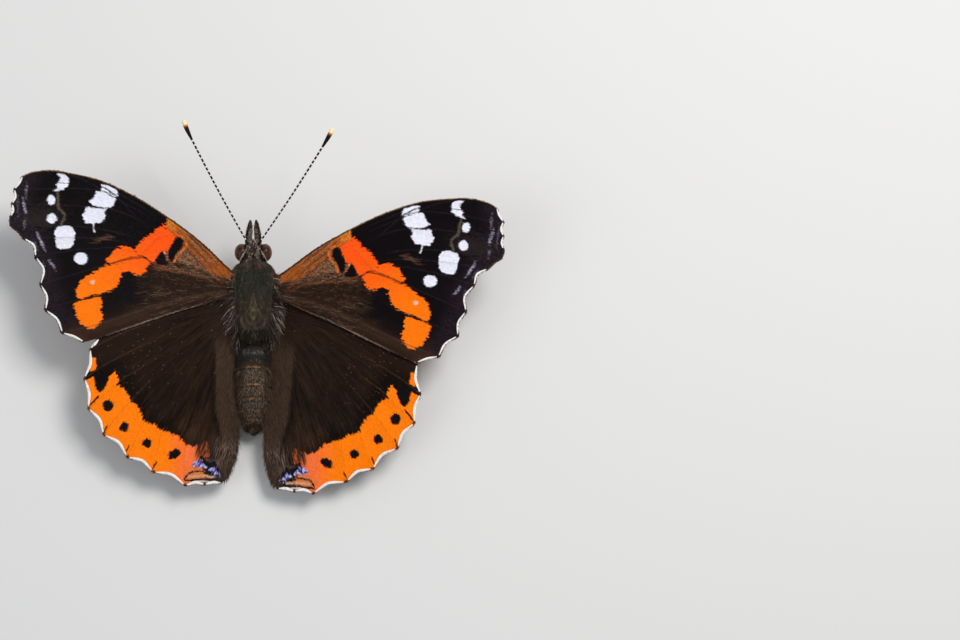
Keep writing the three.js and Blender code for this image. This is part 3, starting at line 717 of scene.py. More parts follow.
def hindwing_top(p):
    """Colours of the hindwing's upper side."""
    x, y = p.T
    out = np.hypot(x, y)
    shift = teeth(p, 21, 0.16)
    fine = noise(x / 0.17, y / 0.17, 22)
    streak = noise(np.arctan2(y, x) * 45, out / 5, 23)
    band_depth = straight(BAND_EDGE + BAND_OUTSIDE, p)
    grain = random.random(len(p))
    c = plain((36, 20, 11), len(p))
    c = laid(c, (56, 36, 23), ramp(streak, 0.1, 0.7) * 0.3 * ramp(x, 17, 9))
    c = laid(c, (14, 6, 3), ramp(band_depth, -3.6, -0.8) * 0.95 * ramp(x, 5.0, 8.0))
    c = laid(c, (64, 49, 37), ramp(x + 0.2 * noise(x, y / 3, 24), 2.1, 1.7) * ramp(y, -3, -7))
    c = laid(c, (120, 98, 76), (grain > 0.985) * ramp(out, 22, 12) * 0.6)
    near = HINDWING.near_vein(p)
    # Paler veins in the outer dark ground: painted highlight on the raised veins.
    c = laid(c, (84, 60, 45), ramp(near, 0.09, 0.03) * ramp(x, 9.5, 12.5) * 0.4)
    band = edge(band_depth + shift * (np.abs(band_depth) < 0.5))
    band_paint = laid(plain((255, 128, 4), len(p)), (250, 112, 52), ramp(x, 9.0, 5.0))
    c = laid(c, band_paint, band)
    c = laid(c, (226, 132, 88), band * ramp(x, 8.5, 4.5) * ramp(streak, 0.0, 0.6) * 0.45)
    c = laid(c, (84, 62, 48), band * ramp(x, 5.2, 3.4) * (0.6 + 0.3 * streak))
    c = laid(c, (255, 124, 6), edge(straight(SMALL_PATCH, p) + shift * 0.5))
    c = laid(c, (226, 106, 6), ramp(near, 0.08, 0.02) * band * 0.5)
    vein = ramp(away(HINDWING.veins[1], p), 0.13, 0.05) * band
    c = laid(c, (70, 30, 14), vein * ramp(band_depth, 1.4, 0.7))
    c = laid(c, INK, edge(straight(BLACK_LOBE, p) + shift * 0.5))
    for centre, half, turn in BLACK_DOTS:
        c = laid(c, INK, edge(spot(p, centre, half, turn) + shift * 0.7))
    for start, end, half in TICKS:
        c = laid(c, (30, 20, 20), edge(half - away(np.array([start, end]), p) + 0.03 * fine, 0.06))
    corner = straight(CORNER, p)
    c = laid(c, (216, 120, 70), edge(corner, 0.3) * ramp(x, 2.5, 4.0))
    c = laid(c, (84, 68, 58), edge(corner, 0.4) * ramp(x, 3.6, 2.2))
    c = laid(c, (16, 12, 22), edge(straight(CORNER_BLACK, p) + 0.25 + shift * 0.5))
    for outline in (BLUE_OUTER, BLUE_INNER):
        blue = plain((104, 102, 190), len(p))
        blue = laid(blue, (196, 198, 236), ramp(fine + grain, 0.5, 1.1))
        blue = laid(blue, (40, 34, 60), ramp(fine - grain, -0.5, -1.0))
        c = laid(c, blue, edge(straight(outline, p) + 0.16 * fine, 0.12))
    for line, half, colour in CORNER_LINES:
        c = laid(c, colour, edge(half - away(curve(line), p) + 0.04 * fine, 0.06))
    rim = away(HINDWING.margin, p, 2.0)
    ends = np.min([np.hypot(x - e[0], y - e[1]) for e in HINDWING.ends], axis=0)
    c = laid(c, (30, 18, 16), ramp(ends + 0.1 * fine, 0.5, 0.25) * 0.85)
    return laid(c, (60, 34, 22), ramp(rim, 0.12, 0.05) * 0.4)


EYE_SPOTS = [((15.6, -9.4), 1.15), ((15.3, -12.4), 0.8), ((13.9, -14.9), 0.85), ((10.6, -16.6), 1.3)]


def hindwing_under(p):
    """Colours of the hindwing's lower side: marbled, with ringed spots and wavy lines."""
    x, y = p.T
    out = np.hypot(x, y)
    fine = noise(x / 0.18, y / 0.18, 31)
    wx = x + 0.9 * noise(x / 1.6, y / 1.6, 32)
    wy = y + 0.9 * noise(x / 1.6, y / 1.6, 33)
    cloud = noise(wx / 1.5, wy / 1.5, 34) + 0.5 * noise(wx / 0.6, wy / 0.6, 35)
    rim = away(HINDWING.margin, p, 6.0)
    c = plain((104, 84, 68), len(p))
    c = laid(c, (48, 36, 32), ramp(cloud, 0.05, 0.45) * 0.9)
    c = laid(c, (156, 136, 112), ramp(cloud, -0.15, -0.6) * 0.8)
    cells = np.abs(noise(wx / 1.3, wy / 1.3, 36))
    base = ramp(out, 15.5, 12.5)
    c = laid(c, (206, 190, 160), ramp(cells, 0.09, 0.03) * base * 0.85)
    rusty = ramp(rim, 5.6, 4.6) * ramp(x, 5.0, 8.0) * (0.55 + 0.3 * fine)
    c = laid(c, (196, 132, 90), rusty * ramp(cloud, 0.6, 0.0))
    c = laid(c, (214, 200, 168), edge(spot(p, (11.0, -1.6), (2.4, 0.8), -12) + 0.5 * cloud, 0.5) * 0.9)
    for centre, size in EYE_SPOTS:
        d = np.hypot(x - centre[0], y - centre[1]) / size + 0.05 * fine
        c = laid(c, (34, 26, 22), ramp(d, 1.12, 1.0))
        c = laid(c, (150, 108, 58), ramp(np.abs(d - 0.78), 0.2, 0.08))
        c = laid(c, (26, 22, 24), ramp(d, 0.6, 0.5))
        c = laid(c, (120, 128, 140), ramp(d, 0.22, 0.1) * 0.8)
    margin = ramp(rim, 2.6, 2.2) * ramp(x, 1.0, 3.0)
    lines = np.sin(rim * 5.2 + 0.6 * cloud)
    c = laid(c, (206, 176, 140), margin * ramp(lines, 0.2, 0.7) * 0.85)
    c = laid(c, (40, 30, 32), margin * ramp(lines, -0.4, -0.8) * 0.9)
    c = laid(c, (120, 112, 110), ramp(x, 3.5, 1.0) * (0.6 + 0.25 * fine))
    near = HINDWING.near_vein(p)
    return laid(c, (182, 160, 130), ramp(near, 0.12, 0.04) * 0.55)


# Wing pieces.

def vein_ridge(near):
    """How far the veins stand out of a wing's face."""
    return VEIN_HEIGHT * np.exp(-((near / VEIN_WIDTH) ** 2))


def wing_skin(wing, name, side, top, under, across=110, along=150):
    """The thin membrane of a wing with its veins raised on both faces."""
    u, v = np.meshgrid(np.linspace(0, 1, along), np.linspace(0, 1, across), indexing="ij")
    p = wing.flat(u, v).reshape(-1, 2)
    near = wing.near_vein(p)
    middle = wing.level_at(p, near)
    ridge = vein_ridge(near)
    upper = wing.place(side, p, middle + SKIN_HALF + ridge)
    lower = wing.place(side, p, middle - SKIN_HALF - ridge)
    quads = grid_faces(along, across)
    count = along * across
    rim = np.concatenate([
        np.arange(across), np.arange(1, along) * across + across - 1,
        count - 2 - np.arange(across - 1), np.arange(along - 2, 0, -1) * across])
    after = np.roll(rim, -1)
    walls = np.stack([rim, after, after + count, rim + count], axis=1)
    faces = np.concatenate([quads[:, ::-1], quads + count, walls])
    if side < 0:
        faces = faces[:, ::-1]
    uv = wing.unwrap(p) * np.array([1.0, 0.5])
    piece(name + "_skin", np.concatenate([upper, lower]), faces,
          np.concatenate([top(p), under(p)]), WING_SKIN, replaces=[name],
          unwrap=np.concatenate([uv + np.array([0, 0.5]), uv]))


# The corners of a scale, along it from its root and across it.
SCALE_ALONG = np.array([0.0, 0.62, 1.0, 0.62, 0.0])
SCALE_ACROSS = np.array([-0.24, -0.5, 0.0, 0.5, 0.24])


def wing_scales(wing, name, side, face, paint, pitch=0.165, beside=0.115):
    """Overlapping scales in rows over one face of a wing, each of one colour."""
    rows = int(wing.reach / pitch)
    places = []
    for i in range(rows):
        u = (i + 0.5) / rows
        width = gaps(wing.flat(u, np.linspace(0, 1, 60))).sum()
        count = max(int(width / beside), 2)
        v = (np.arange(count) + 0.25 + 0.5 * (i % 2)) / count
        v = v + random.uniform(-0.25, 0.25, count) * beside / width
        places.append(np.stack([u + random.uniform(-0.3, 0.3, count) / rows, v], axis=1))
    u, v = np.clip(np.concatenate(places), 0.001, 0.999).T
    root = wing.flat(u, v)
    heading = wing.heading(u, v, 0.02, random.normal(0, 0.12, len(u)))
    across = np.stack([-heading[:, 1], heading[:, 0]], axis=1)
    length = pitch * random.uniform(1.7, 2.3, len(u))
    width = beside * random.uniform(1.15, 1.45, len(u))
    tip = root + heading * length[:, None]
    levels = []
    for p in (root, tip):
        near = wing.near_vein(p)
        levels.append(wing.level_at(p, near) + face * (SKIN_HALF + vein_ridge(near)))
    rise = face * (0.012 + random.uniform(0.02, 0.06, len(u)))
    lean = random.normal(0, 0.012, len(u))
    flat = (root[:, None] + heading[:, None] * (length[:, None] * SCALE_ALONG)[..., None]
            + across[:, None] * (width[:, None] * SCALE_ACROSS)[..., None])
    z = (levels[0][:, None] * (1 - SCALE_ALONG) + levels[1][:, None] * SCALE_ALONG
         + face * 0.01 + rise[:, None] * SCALE_ALONG + lean[:, None] * SCALE_ACROSS)
    points = wing.place(side, flat, z).reshape(-1, 3)
    corners = len(SCALE_ALONG)
    faces = np.arange(len(u) * corners).reshape(-1, corners)
    if side * face > 0:
        faces = faces[:, ::-1]
    colour = paint(root) * random.uniform(0.92, 1.08, (len(u), 1))
    patch = np.stack([(SCALE_ALONG - 0.5) * PATCH, SCALE_ACROSS * PATCH], axis=1)
    uv = (wing.unwrap(root)[:, None] + patch).reshape(-1, 2)
    piece(name, points, faces, np.repeat(colour, corners, axis=0), WING_SCALES, unwrap=uv,
          smooth=False)


def wing_fringe(wing, name, side, spacing=0.02):
    """The fringe on the margin: white in the bays and dark at the ends of the veins."""
    lengths = run(wing.margin_raw)
    steps = np.arange(len(wing.margin_raw))
    count = int(2 * lengths[-1] / spacing)
    t = np.interp(random.random(count) * lengths[-1], lengths, steps)
    root, ahead, behind = (
        np.stack([np.interp(t + d, steps, wing.margin_raw[:, k]) for k in range(2)], axis=1)
        for d in (0.0, 0.6, -0.6))
    tangent = unit(ahead - behind)
    outward = np.stack([tangent[:, 1], -tangent[:, 0]], axis=1)
    bay = (t / BAY_POINTS) % 1
    pale_bay = wing.white[np.minimum(t.astype(int) // BAY_POINTS, len(wing.white) - 1)]
    white = ramp(np.abs(bay - 0.5) + random.normal(0, 0.01, count), 0.45, 0.41) * pale_bay
    full = ramp(np.abs(bay - 0.5), 0.5, 0.12) * (0.4 + 0.6 * pale_bay)
    widest = 0.22 if wing is HINDWING else 0.14
    length = (0.07 + widest * full) * random.uniform(0.88, 1.1, count)
    root = root - outward * 0.06
    near = wing.near_vein(root)
    level = wing.level_at(root, near) + random.uniform(0.06, 0.17, count)
    start = wing.place(side, root, level)
    end = wing.place(side, root + outward * 0.1 + tangent * random.normal(0, 0.02, (count, 1)), level)
    up = unit(wing.place(side, root, level + 0.1) - start) + random.normal(0, 0.12, (count, 3))
    dark = laid(plain(INK, count), (60, 42, 36), random.random(count))
    pale = rgb(244, 240, 236) * random.uniform(0.85, 1.08, (count, 1))
    colour = dark + (pale - dark) * white[:, None]
    tufts(name, start, end - start, up, length + 0.06, np.full(count, 0.1), np.zeros((count, 3)),
          colour, colour, wing.unwrap(root), FRINGE, steps=2)


for label, wing, paints in (
    ("forewing", FOREWING, (forewing_top, forewing_under)),
    ("hindwing", HINDWING, (hindwing_top, hindwing_under)),
):
    for hand, side in HANDS:
        node = f"{label}_{hand}"
        wing_skin(wing, node, side, *paints)
        wing_scales(wing, node + "_scales_top", side, 1, paints[0])
        wing_scales(wing, node + "_scales_under", side, -1, paints[1], 0.2, 0.16)
        wing_fringe(wing, node + "_fringe", side)


# Hairs on the wings.

def wing_hairs(wing, name, side, u, v, length, wide, rise, turn, sway, paint, shades):
    """Thin hairs that lie along a wing from their roots at u and v.

    Wide and rise are ranges, sway is the spread of the turn, and shades darken or lighten the
    paint at the root and at the tip, as painted shade within the coat and painted light on it.
    """
    n = len(u)
    width, rise = random.uniform(*wide, n), random.uniform(*rise, n)
    turn = random.normal(0, sway, n) + turn
    root = wing.flat(u, v)
    tip = root + wing.heading(u, v, 0.03, turn) * length[:, None]
    level = wing.level_at(root, wing.near_vein(root)) + 0.09
    end = wing.level_at(tip, wing.near_vein(tip)) + 0.12 + rise
    start, stop = wing.place(side, root, level), wing.place(side, tip, end)
    up = unit(wing.place(side, root, level + 0.1) - start) + random.normal(0, 0.3, (n, 3))
    sag = np.zeros((n, 3))
    sag[:, 2] = -0.35 * rise
    # The shades paint the roots darker and the tips lighter: painted shade and painted light.
    tufts(name, start, stop - start, up, np.linalg.norm(stop - start, axis=1), width, sag,
          paint * shades[0], paint * shades[1], wing.unwrap(root), HAIR)


def further(p, step):
    """Flat places a step further from the root, where a hair that starts at p would end."""
    return p * (1 + step / np.hypot(*p.T))[:, None]


def hindwing_fan(side, hand, count=9500):
    """Brown hair-like scales that fan out over the inner half of a hindwing."""
    u = 0.02 + 0.84 * random.random(count) ** 0.85
    v = random.random(count) ** 1.2 * 0.8
    p = HINDWING.flat(u, v)
    reach = ramp(p[:, 0] + 0.45 * p[:, 1], 8.0, 2.0) * ramp(u, 0.87, 0.76)
    band_depth = straight(BAND_EDGE + BAND_OUTSIDE, further(p, 1.9))
    stops = band_depth < 0.1 + 0.5 * random.random(count) + 1.2 * ramp(p[:, 0], 4.6, 3.2)
    keep = stops & (random.random(count) < np.maximum(reach, 0.25 * (u < 0.7)))
    u, v, p = u[keep], v[keep], p[keep]
    n = len(u)
    bearing = np.arctan2(p[:, 0] + 1, -p[:, 1])
    out = np.hypot(p[:, 0], p[:, 1])
    fold = p[:, 0] + 0.9 * ramp(p[:, 1], -13.0, -19.0) + 0.15 * noise(out / 3, bearing * 8, 71)
    inner = ramp(fold, 1.95, 1.6) * ramp(p[:, 1], -1.5, -6.0)
    # Painted shade: a near-black line in the groove of the fold beside the abdomen.
    groove_shade = bell(fold, 2.0, 0.25) * ramp(p[:, 1], -3.5, -7.0)
    length = random.uniform(1.3, 2.8, n) * (1 - 0.5 * inner) * (1 - 0.3 * ramp(u, 0.5, 0.85))
    lock = noise(bearing * 60, out / 2.2, 72) + 0.5 * noise(bearing * 22, out / 5, 70)
    lock = lock + random.normal(0, 0.3, n)
    brown = laid(plain((45, 29, 19), n), (24, 14, 9), ramp(lock, 0.0, -0.9))
    brown = laid(brown, (66, 47, 34), ramp(lock, 0.5, 1.5) * 0.8)
    brown = laid(brown, (24, 13, 8), bell(bearing, 0.75, 0.3) * bell(out, 13, 4) * 0.6)
    patch = bell(out, 18.0, 2.2) * bell(bearing, 0.38, 0.16)
    brown = laid(brown, (76, 54, 39), patch * ramp(lock, -0.6, 0.6) * 0.7)
    brown = laid(brown, rgb(70, 53, 40) * random.uniform(0.6, 1.4, (n, 1)), inner * 0.8)
    brown = laid(brown, (10, 7, 5), groove_shade * 0.9)
    pale = ramp(u, 0.68, 0.8) * ramp(fold, 3.6, 2.2)
    brown = laid(brown, (128, 108, 98), pale * (random.random(n) < 0.5))
    wing_hairs(HINDWING, f"hindwing_{hand}_fan", side, u, v, length, wide=(0.05, 0.09),
               rise=(0.0, 0.16), turn=0.1 * inner, sway=0.05, paint=brown, shades=(0.8, 1.05))


def hindwing_inner_edge(side, hand, count=2600):
    """Soft hairs along the edge of a hindwing beside the abdomen."""
    u, v = random.uniform(0.12, 0.97, count), random.random(count) ** 2 * 0.05
    brown = laid(plain((44, 33, 25), count), (86, 70, 56), random.random(count) ** 2)
    wing_hairs(HINDWING, f"hindwing_{hand}_inner_edge", side, u, v, random.uniform(0.5, 1.05, count),
               wide=(0.04, 0.07), rise=(-0.05, 0.15), turn=-0.5, sway=0.18, paint=brown,
               shades=(0.85, 1.1))


def forewing_down(side, hand, count=2600):
    """Short brown hairs over the root and the hind part of a forewing."""
    u = 0.03 + 0.5 * random.random(count) ** 1.2
    v = random.random(count) * 0.55
    p = FOREWING.flat(u, v)
    keep = band_marks(further(p, 1.5), 0.0) < -0.15
    u, v, count = u[keep], v[keep], np.count_nonzero(keep)
    lock = noise(u * 9, v * 30, 73) + random.normal(0, 0.4, count)
    brown = laid(plain((42, 28, 20), count), (104, 80, 60), ramp(lock, 0.1, 1.0))
    wing_hairs(FOREWING, f"forewing_{hand}_down", side, u, v, random.uniform(0.6, 1.3, count),
               wide=(0.04, 0.07), rise=(0.0, 0.08), turn=0.0, sway=0.12, paint=brown,
               shades=(0.8, 1.1))


# Body.

BODY_PROFILE = curve([
    (-17.9, 0.02, 0.02, -1.72), (-17.8, 0.5, 0.46, -1.68), (-17.3, 0.98, 0.9, -1.56),
    (-16.5, 1.38, 1.34, -1.33), (-15.3, 1.76, 1.76, -1.04), (-14.0, 2.0, 2.02, -0.77),
    (-12.6, 2.1, 2.16, -0.52), (-11.0, 2.12, 2.2, -0.3), (-9.3, 2.05, 2.1, -0.13),
    (-7.6, 1.9, 1.94, -0.03), (-6.5, 1.66, 1.68, 0.0), (-5.9, 1.7, 1.68, 0.0),
    (-5.2, 2.0, 2.04, 0.0), (-4.2, 2.36, 2.45, 0.0), (-2.6, 2.6, 2.7, 0.0),
    (-0.6, 2.72, 2.8, 0.0), (1.2, 2.76, 2.78, 0.0), (2.6, 2.74, 2.62, 0.0), (3.5, 2.58, 2.36, 0.03),
    (4.2, 2.26, 2.0, 0.08), (4.7, 1.8, 1.6, 0.16), (5.05, 1.36, 1.26, 0.24),
    (5.5, 1.16, 1.16, 0.32), (6.4, 1.18, 1.22, 0.36), (7.0, 1.06, 1.08, 0.33),
    (7.45, 0.84, 0.84, 0.3), (7.75, 0.5, 0.5, 0.28), (7.85, 0.02, 0.02, 0.28),
])
RINGS = np.array([-6.9, -9.3, -11.6, -13.5, -15.0, -16.2, -17.2])
# Where the bake map of the body begins along it, and the length it covers.
MAP_START = -18.1
MAP_LENGTH = 26.3


def bell(value, centre, half):
    """A smooth bump of height one."""
    return np.exp(-(((value - centre) / half) ** 2))


def body_point(y, a, lift=0.0):
    """A place on the body's skin at y along it and a round it, with a at 90 degrees on the back."""
    y = np.asarray(y, float)
    wide, deep, middle = (np.interp(y, BODY_PROFILE[:, 0], BODY_PROFILE[:, k]) for k in (1, 2, 3))
    ring = np.min(np.where(y[..., None] < RINGS, RINGS - y[..., None], 9.0), axis=-1)
    step = 0.13 * ramp(ring, 0.0, 0.15) * ramp(ring, 2.4, 0.4) * (y < RINGS[0])
    up, x = np.sin(a), wide * np.cos(a)
    top = ramp(up, 0.1, 0.5)
    shoulder = 0.42 * bell(y, 2.7, 1.3) * bell(up, 0.4, 0.3)
    hinge = 0.3 * bell(y, -1.2, 1.9) * bell(up, 0.24, 0.24)
    shield = np.hypot(x / 0.85, (y + 2.3) / 1.05)
    plate = (0.16 * ramp(shield, 1.0, 0.4) - 0.07 * bell(shield, 1.12, 0.12)) * top
    seam = -0.1 * bell(y + 0.12 * x * x, -3.9, 0.14) * top
    waist_plate = 0.14 * bell(y, -4.7, 0.4) * top
    middle_line = -0.05 * bell(x, 0.0, 0.09) * ramp(y, -1.2, -0.8) * ramp(y, 4.4, 3.8) * top
    lobes = 0.12 * bell(np.abs(x), 1.05, 0.5) * bell(y, 4.35, 0.35) * top
    extra = step + shoulder + hinge + plate + seam + waist_plate + middle_line + lobes + lift
    extra = extra * ramp(y, -18.0, -17.3) * ramp(y, 8.0, 7.4)
    return np.stack([(wide + extra) * np.cos(a), y + 0 * a, middle + (deep + extra) * up], axis=-1)


def body_frame_at(y, a):
    """Outward, backward and sideways directions on the skin."""
    back = unit(body_point(y - 0.05, a) - body_point(y + 0.05, a))
    around = unit(body_point(y, a + 0.02) - body_point(y, a - 0.02))
    return unit(np.cross(around, back)), back, around


def body_unwrap(y, a):
    """Where a place on the skin lies in the bake map: round it and along it."""
    turn, along = (a / (2 * np.pi) + 0.25) % 1, y - MAP_START
    return np.stack([0.01 + 0.98 * turn, 0.01 + 0.98 * along / MAP_LENGTH], axis=-1)


def body_colours(y, a):
    """Colours of the body's skin and coat."""
    up = np.sin(a)
    x = body_point(y, a)[..., 0]
    n = len(y)
    fine = noise(y / 0.22, a * 9, 41)
    grain = random.random(n)
    above = ramp(up, -0.1, 0.3)
    c = plain((112, 94, 74), n)
    c = laid(c, (66, 54, 44), ramp(up, -0.45, 0.1))
    thorax = ramp(y, -5.9, -5.2) * ramp(y, 5.3, 4.7)
    back = ramp(up + 0.08 * fine, 0.25, 0.75) * thorax
    c = laid(c, (62, 52, 42), thorax * above)
    soft = 0.75 + 0.25 * fine
    c = laid(c, (44, 44, 37), back)
    c = laid(c, (55, 47, 38), back * ramp(y + 0.5 * fine, 2.4, -2.5) * 0.9)
    # A pale olive line down each side of the thorax: painted highlight on the edge of the coat.
    c = laid(c, (82, 72, 48), bell(np.abs(x), 2.45, 0.22) * above * ramp(y, -3.5, -1.5) * thorax * 0.55)
    c = laid(c, (76, 68, 64), ramp(y + 0.1 * fine, 4.1, 4.6) * thorax * above * 0.8)
    c = laid(c, (122, 68, 60), bell(y, 3.2, 0.5) * bell(np.abs(x), 2.65, 0.3) * above * 0.7)
    c = laid(c, (112, 74, 46), bell(y, 4.25, 0.28) * bell(np.abs(x), 0.65, 0.3) * above * 0.7 * soft)
    c = laid(c, (20, 15, 13), bell(x + 0.04 * fine, 0.0, 0.08) * bell(y, 4.45, 0.45) * above)
    c = laid(c, (24, 25, 24), bell(x, 0.0, 0.06) * ramp(y, 0.6, 0.9) * ramp(y, 4.2, 3.9) * above * 0.6)
    c = laid(c, (128, 106, 78), bell(np.abs(x) + 0.05 * fine - ramp(y, 0.8, -1.3) * 0.42, 0.0, 0.08)
             * ramp(y, 0.9, 0.6) * ramp(y, -1.4, -1.1) * above * 0.55 * soft)
    drop = np.hypot(x / 0.3, (y + 2.1) / 0.55) + 0.12 * fine
    c = laid(c, (120, 110, 78), bell(drop, 1.0, 0.3) * above * 0.65 * soft)
    shield = np.hypot(x / 0.85, (y + 2.3) / 1.05) + 0.08 * fine
    c = laid(c, (96, 88, 66), bell(shield, 1.0, 0.15) * above * 0.6 * soft)
    arc = np.hypot(x / 1.55, (y + 2.5) / 1.75) + 0.06 * fine
    c = laid(c, (100, 94, 82), bell(arc, 1.0, 0.1) * above * (y < -2.2) * 0.55 * soft)
    belly = ramp(y, -5.5, -6.4)
    c = laid(c, (44, 34, 27), belly * ramp(up, -0.1, 0.4))
    middle = belly * ramp(np.abs(x), 2.2, 1.4) * above
    c = laid(c, (66, 53, 43), middle * 0.85)
    c = laid(c, (150, 132, 106), belly * ramp(up, -0.3, -0.65))
    c = laid(c, (122, 104, 86), middle * (grain > 0.7) * ramp(y, -8.8, -9.6) * 0.8)
    c = laid(c, (30, 23, 19), middle * (grain < 0.25) * 0.7)
    c = laid(c, (38, 37, 35), ramp(y, -6.4, -6.9) * ramp(y, -9.4, -8.0) * ramp(up, -0.1, 0.4))
    c = laid(c, (104, 106, 104), bell(y, -7.25, 0.25) * ramp(up, 0.3, 0.7) * (grain > 0.66))
    # Near black on top of the narrow waist: painted shade between thorax and abdomen.
    c = laid(c, (11, 9, 8), ramp(y, -5.1, -5.6) * ramp(y, -6.9, -6.3) * ramp(up, 0.0, 0.5))
    c = laid(c, (92, 76, 88), bell(y, -14.4, 0.5) * middle * (grain > 0.5) * 0.4)
    ring = np.min(np.abs(y[:, None] - RINGS[1:]), axis=1)
    line = ramp(ring + 0.06 * fine, 0.1, 0.03) * ramp(np.abs(x) + 0.3 * fine, 1.0, 0.6) * above
    c = laid(c, (176, 122, 78), line * (0.4 + 0.5 * (fine > -0.2)))
    c = laid(c, (28, 22, 19), bell(ring, 0.24, 0.09) * (up > -0.4) * belly * 0.6)
    head = ramp(y, 4.9, 5.3)
    c = laid(c, (54, 44, 38), head)
    c = laid(c, (18, 13, 11), bell(x, 0.0, 0.22) * bell(y, 5.75, 0.3) * above)
    return laid(c, (136, 112, 86), head * ramp(up, 0.0, -0.6))


def body_skin(along=340, around=128):
    """One skin over head, thorax and abdomen."""
    y = np.interp(np.linspace(0, 1, along), np.linspace(0, 1, len(BODY_PROFILE)), BODY_PROFILE[:, 0])
    a = np.linspace(0, 2 * np.pi, around, endpoint=False)
    y, a = (g.ravel() for g in np.meshgrid(y, a, indexing="ij"))
    piece("body_skin", to_world(body_point(y, a)), grid_faces(along, around, wrap=True),
          body_colours(y, a), BODY_SKIN, replaces=["head", "thorax", "abdomen"])


# Hairs are lighter at the tip: painted light on the outside of the coat.
TIP_PAINTED_LIGHT = 1.15


def shown(root, direction):
    """Directions of the body frame at a place, moved to the row frame."""
    return to_world(root + direction) - to_world(root)


def body_coat(name, y, a, paint, long, wide, lift, sway=0.0, lean=0.0, stretch=1, shade=0.8,
              steps=3, spread=0.22):
    """Hairs over the skin that lie towards the tail, lifted off it and swayed sideways.

    Long and wide are ranges, stretch lengthens some hairs, lean bends the tips down towards the
    tail, shade darkens the paint at the roots as painted shade, and spread is how far the hairs
    differ in sway.
    """
    n = len(y)
    length, width = random.uniform(*long, n) * stretch, random.uniform(*wide, n)
    out, back, around = body_frame_at(y, a)
    lift = (lift + random.normal(0, 0.12, n))[:, None]
    sway = (sway + random.normal(0, spread, n))[:, None]
    along = (back * np.cos(sway) + around * np.sin(sway)) * np.cos(lift) + out * np.sin(lift)
    root = body_point(y, a, -0.02)
    bend = (back * 0.7 - out * np.sin(lift)) * (length * lean)[:, None]
    up = shown(root, out) + random.normal(0, 0.35, (n, 3))
    # Roots darker and tips lighter: painted shade within the coat and painted light on its top.
    tufts(name, to_world(root), shown(root, along), up, length, width, shown(root, bend),
          paint * shade, paint * TIP_PAINTED_LIGHT, body_unwrap(y, a), HAIR, steps=steps)


def area(count, y0, y1, a0, a1):
    """Even random places on the skin between two sections and two angles in degrees."""
    y = random.uniform(y0, y1, count * 2)
    wide = np.interp(y, BODY_PROFILE[:, 0], BODY_PROFILE[:, 1])
    y = y[random.random(count * 2) * 2.7 < wide][:count]
    return y, np.radians(random.uniform(a0, a1, len(y)))


def mixed(base, low, high, share=0.1, pale=(150, 138, 126), locks=None):
    """Hair colours spread round a base and clumped in locks, a share of the hairs pale."""
    n = len(base)
    if locks is None:
        spread = random.uniform(0, 1, n)
    else:
        spread = np.clip(0.5 + 0.5 * locks + random.normal(0, 0.2, n), 0, 1)
    c = base * (low + (high - low) * spread)[:, None]
    return laid(c, pale, (random.random(n) < share) * random.uniform(0.4, 1.0, n))


def dress_thorax():
    """The coat of the thorax: close on the back, longer at the sides and below."""
    y, a = area(22000, -5.6, 4.9, 12, 168)
    locks = noise(y / 0.9, a * 14, 74)
    paint = mixed(body_colours(y, a), 0.65, 1.5, 0.02, (120, 114, 100), locks)
    side = ramp(np.abs(np.cos(a)), 0.75, 0.95)
    body_coat("thorax_back_coat", y, a, paint, (0.28, 0.5), (0.05, 0.085),
              lift=0.18 + 0.15 * side, sway=-0.7 * np.cos(a), lean=0.15, stretch=1 + 0.5 * side,
              shade=0.75, steps=2)
    for label, a0, a1 in (("right", -38, 18), ("left", 162, 218)):
        y, a = area(6000, -5.4, 4.9, a0, a1)
        locks = noise(y / 0.5, a * 12, 75)
        paint = mixed(body_colours(y, a), 0.6, 1.4, 0.08, (150, 136, 124), locks)
        body_coat(f"thorax_{label}_coat", y, a, paint, (0.5, 1.0), (0.05, 0.085), lift=0.3,
                  sway=-0.3 * np.sign(np.cos(a)), lean=0.45, shade=0.75)
    y, a = area(3200, -5.7, -4.1, 10, 170)
    locks = noise(y / 0.4, a * 9, 80)
    paint = mixed(plain((38, 33, 28), len(y)), 0.5, 1.6, 0.06, (120, 110, 98), locks)
    body_coat("waist_coat", y, a, paint, (0.6, 1.2), (0.05, 0.08), lift=0.25, lean=0.3, shade=0.7)
    y, a = area(7500, -5.6, 5.0, 212, 328)
    locks = noise(y / 0.7, a * 8, 76)
    paint = mixed(body_colours(y, a), 0.7, 1.35, 0.12, (196, 176, 150), locks)
    body_coat("breast_coat", y, a, paint, (0.9, 1.7), (0.05, 0.09), lift=0.4, lean=0.35, shade=0.75)


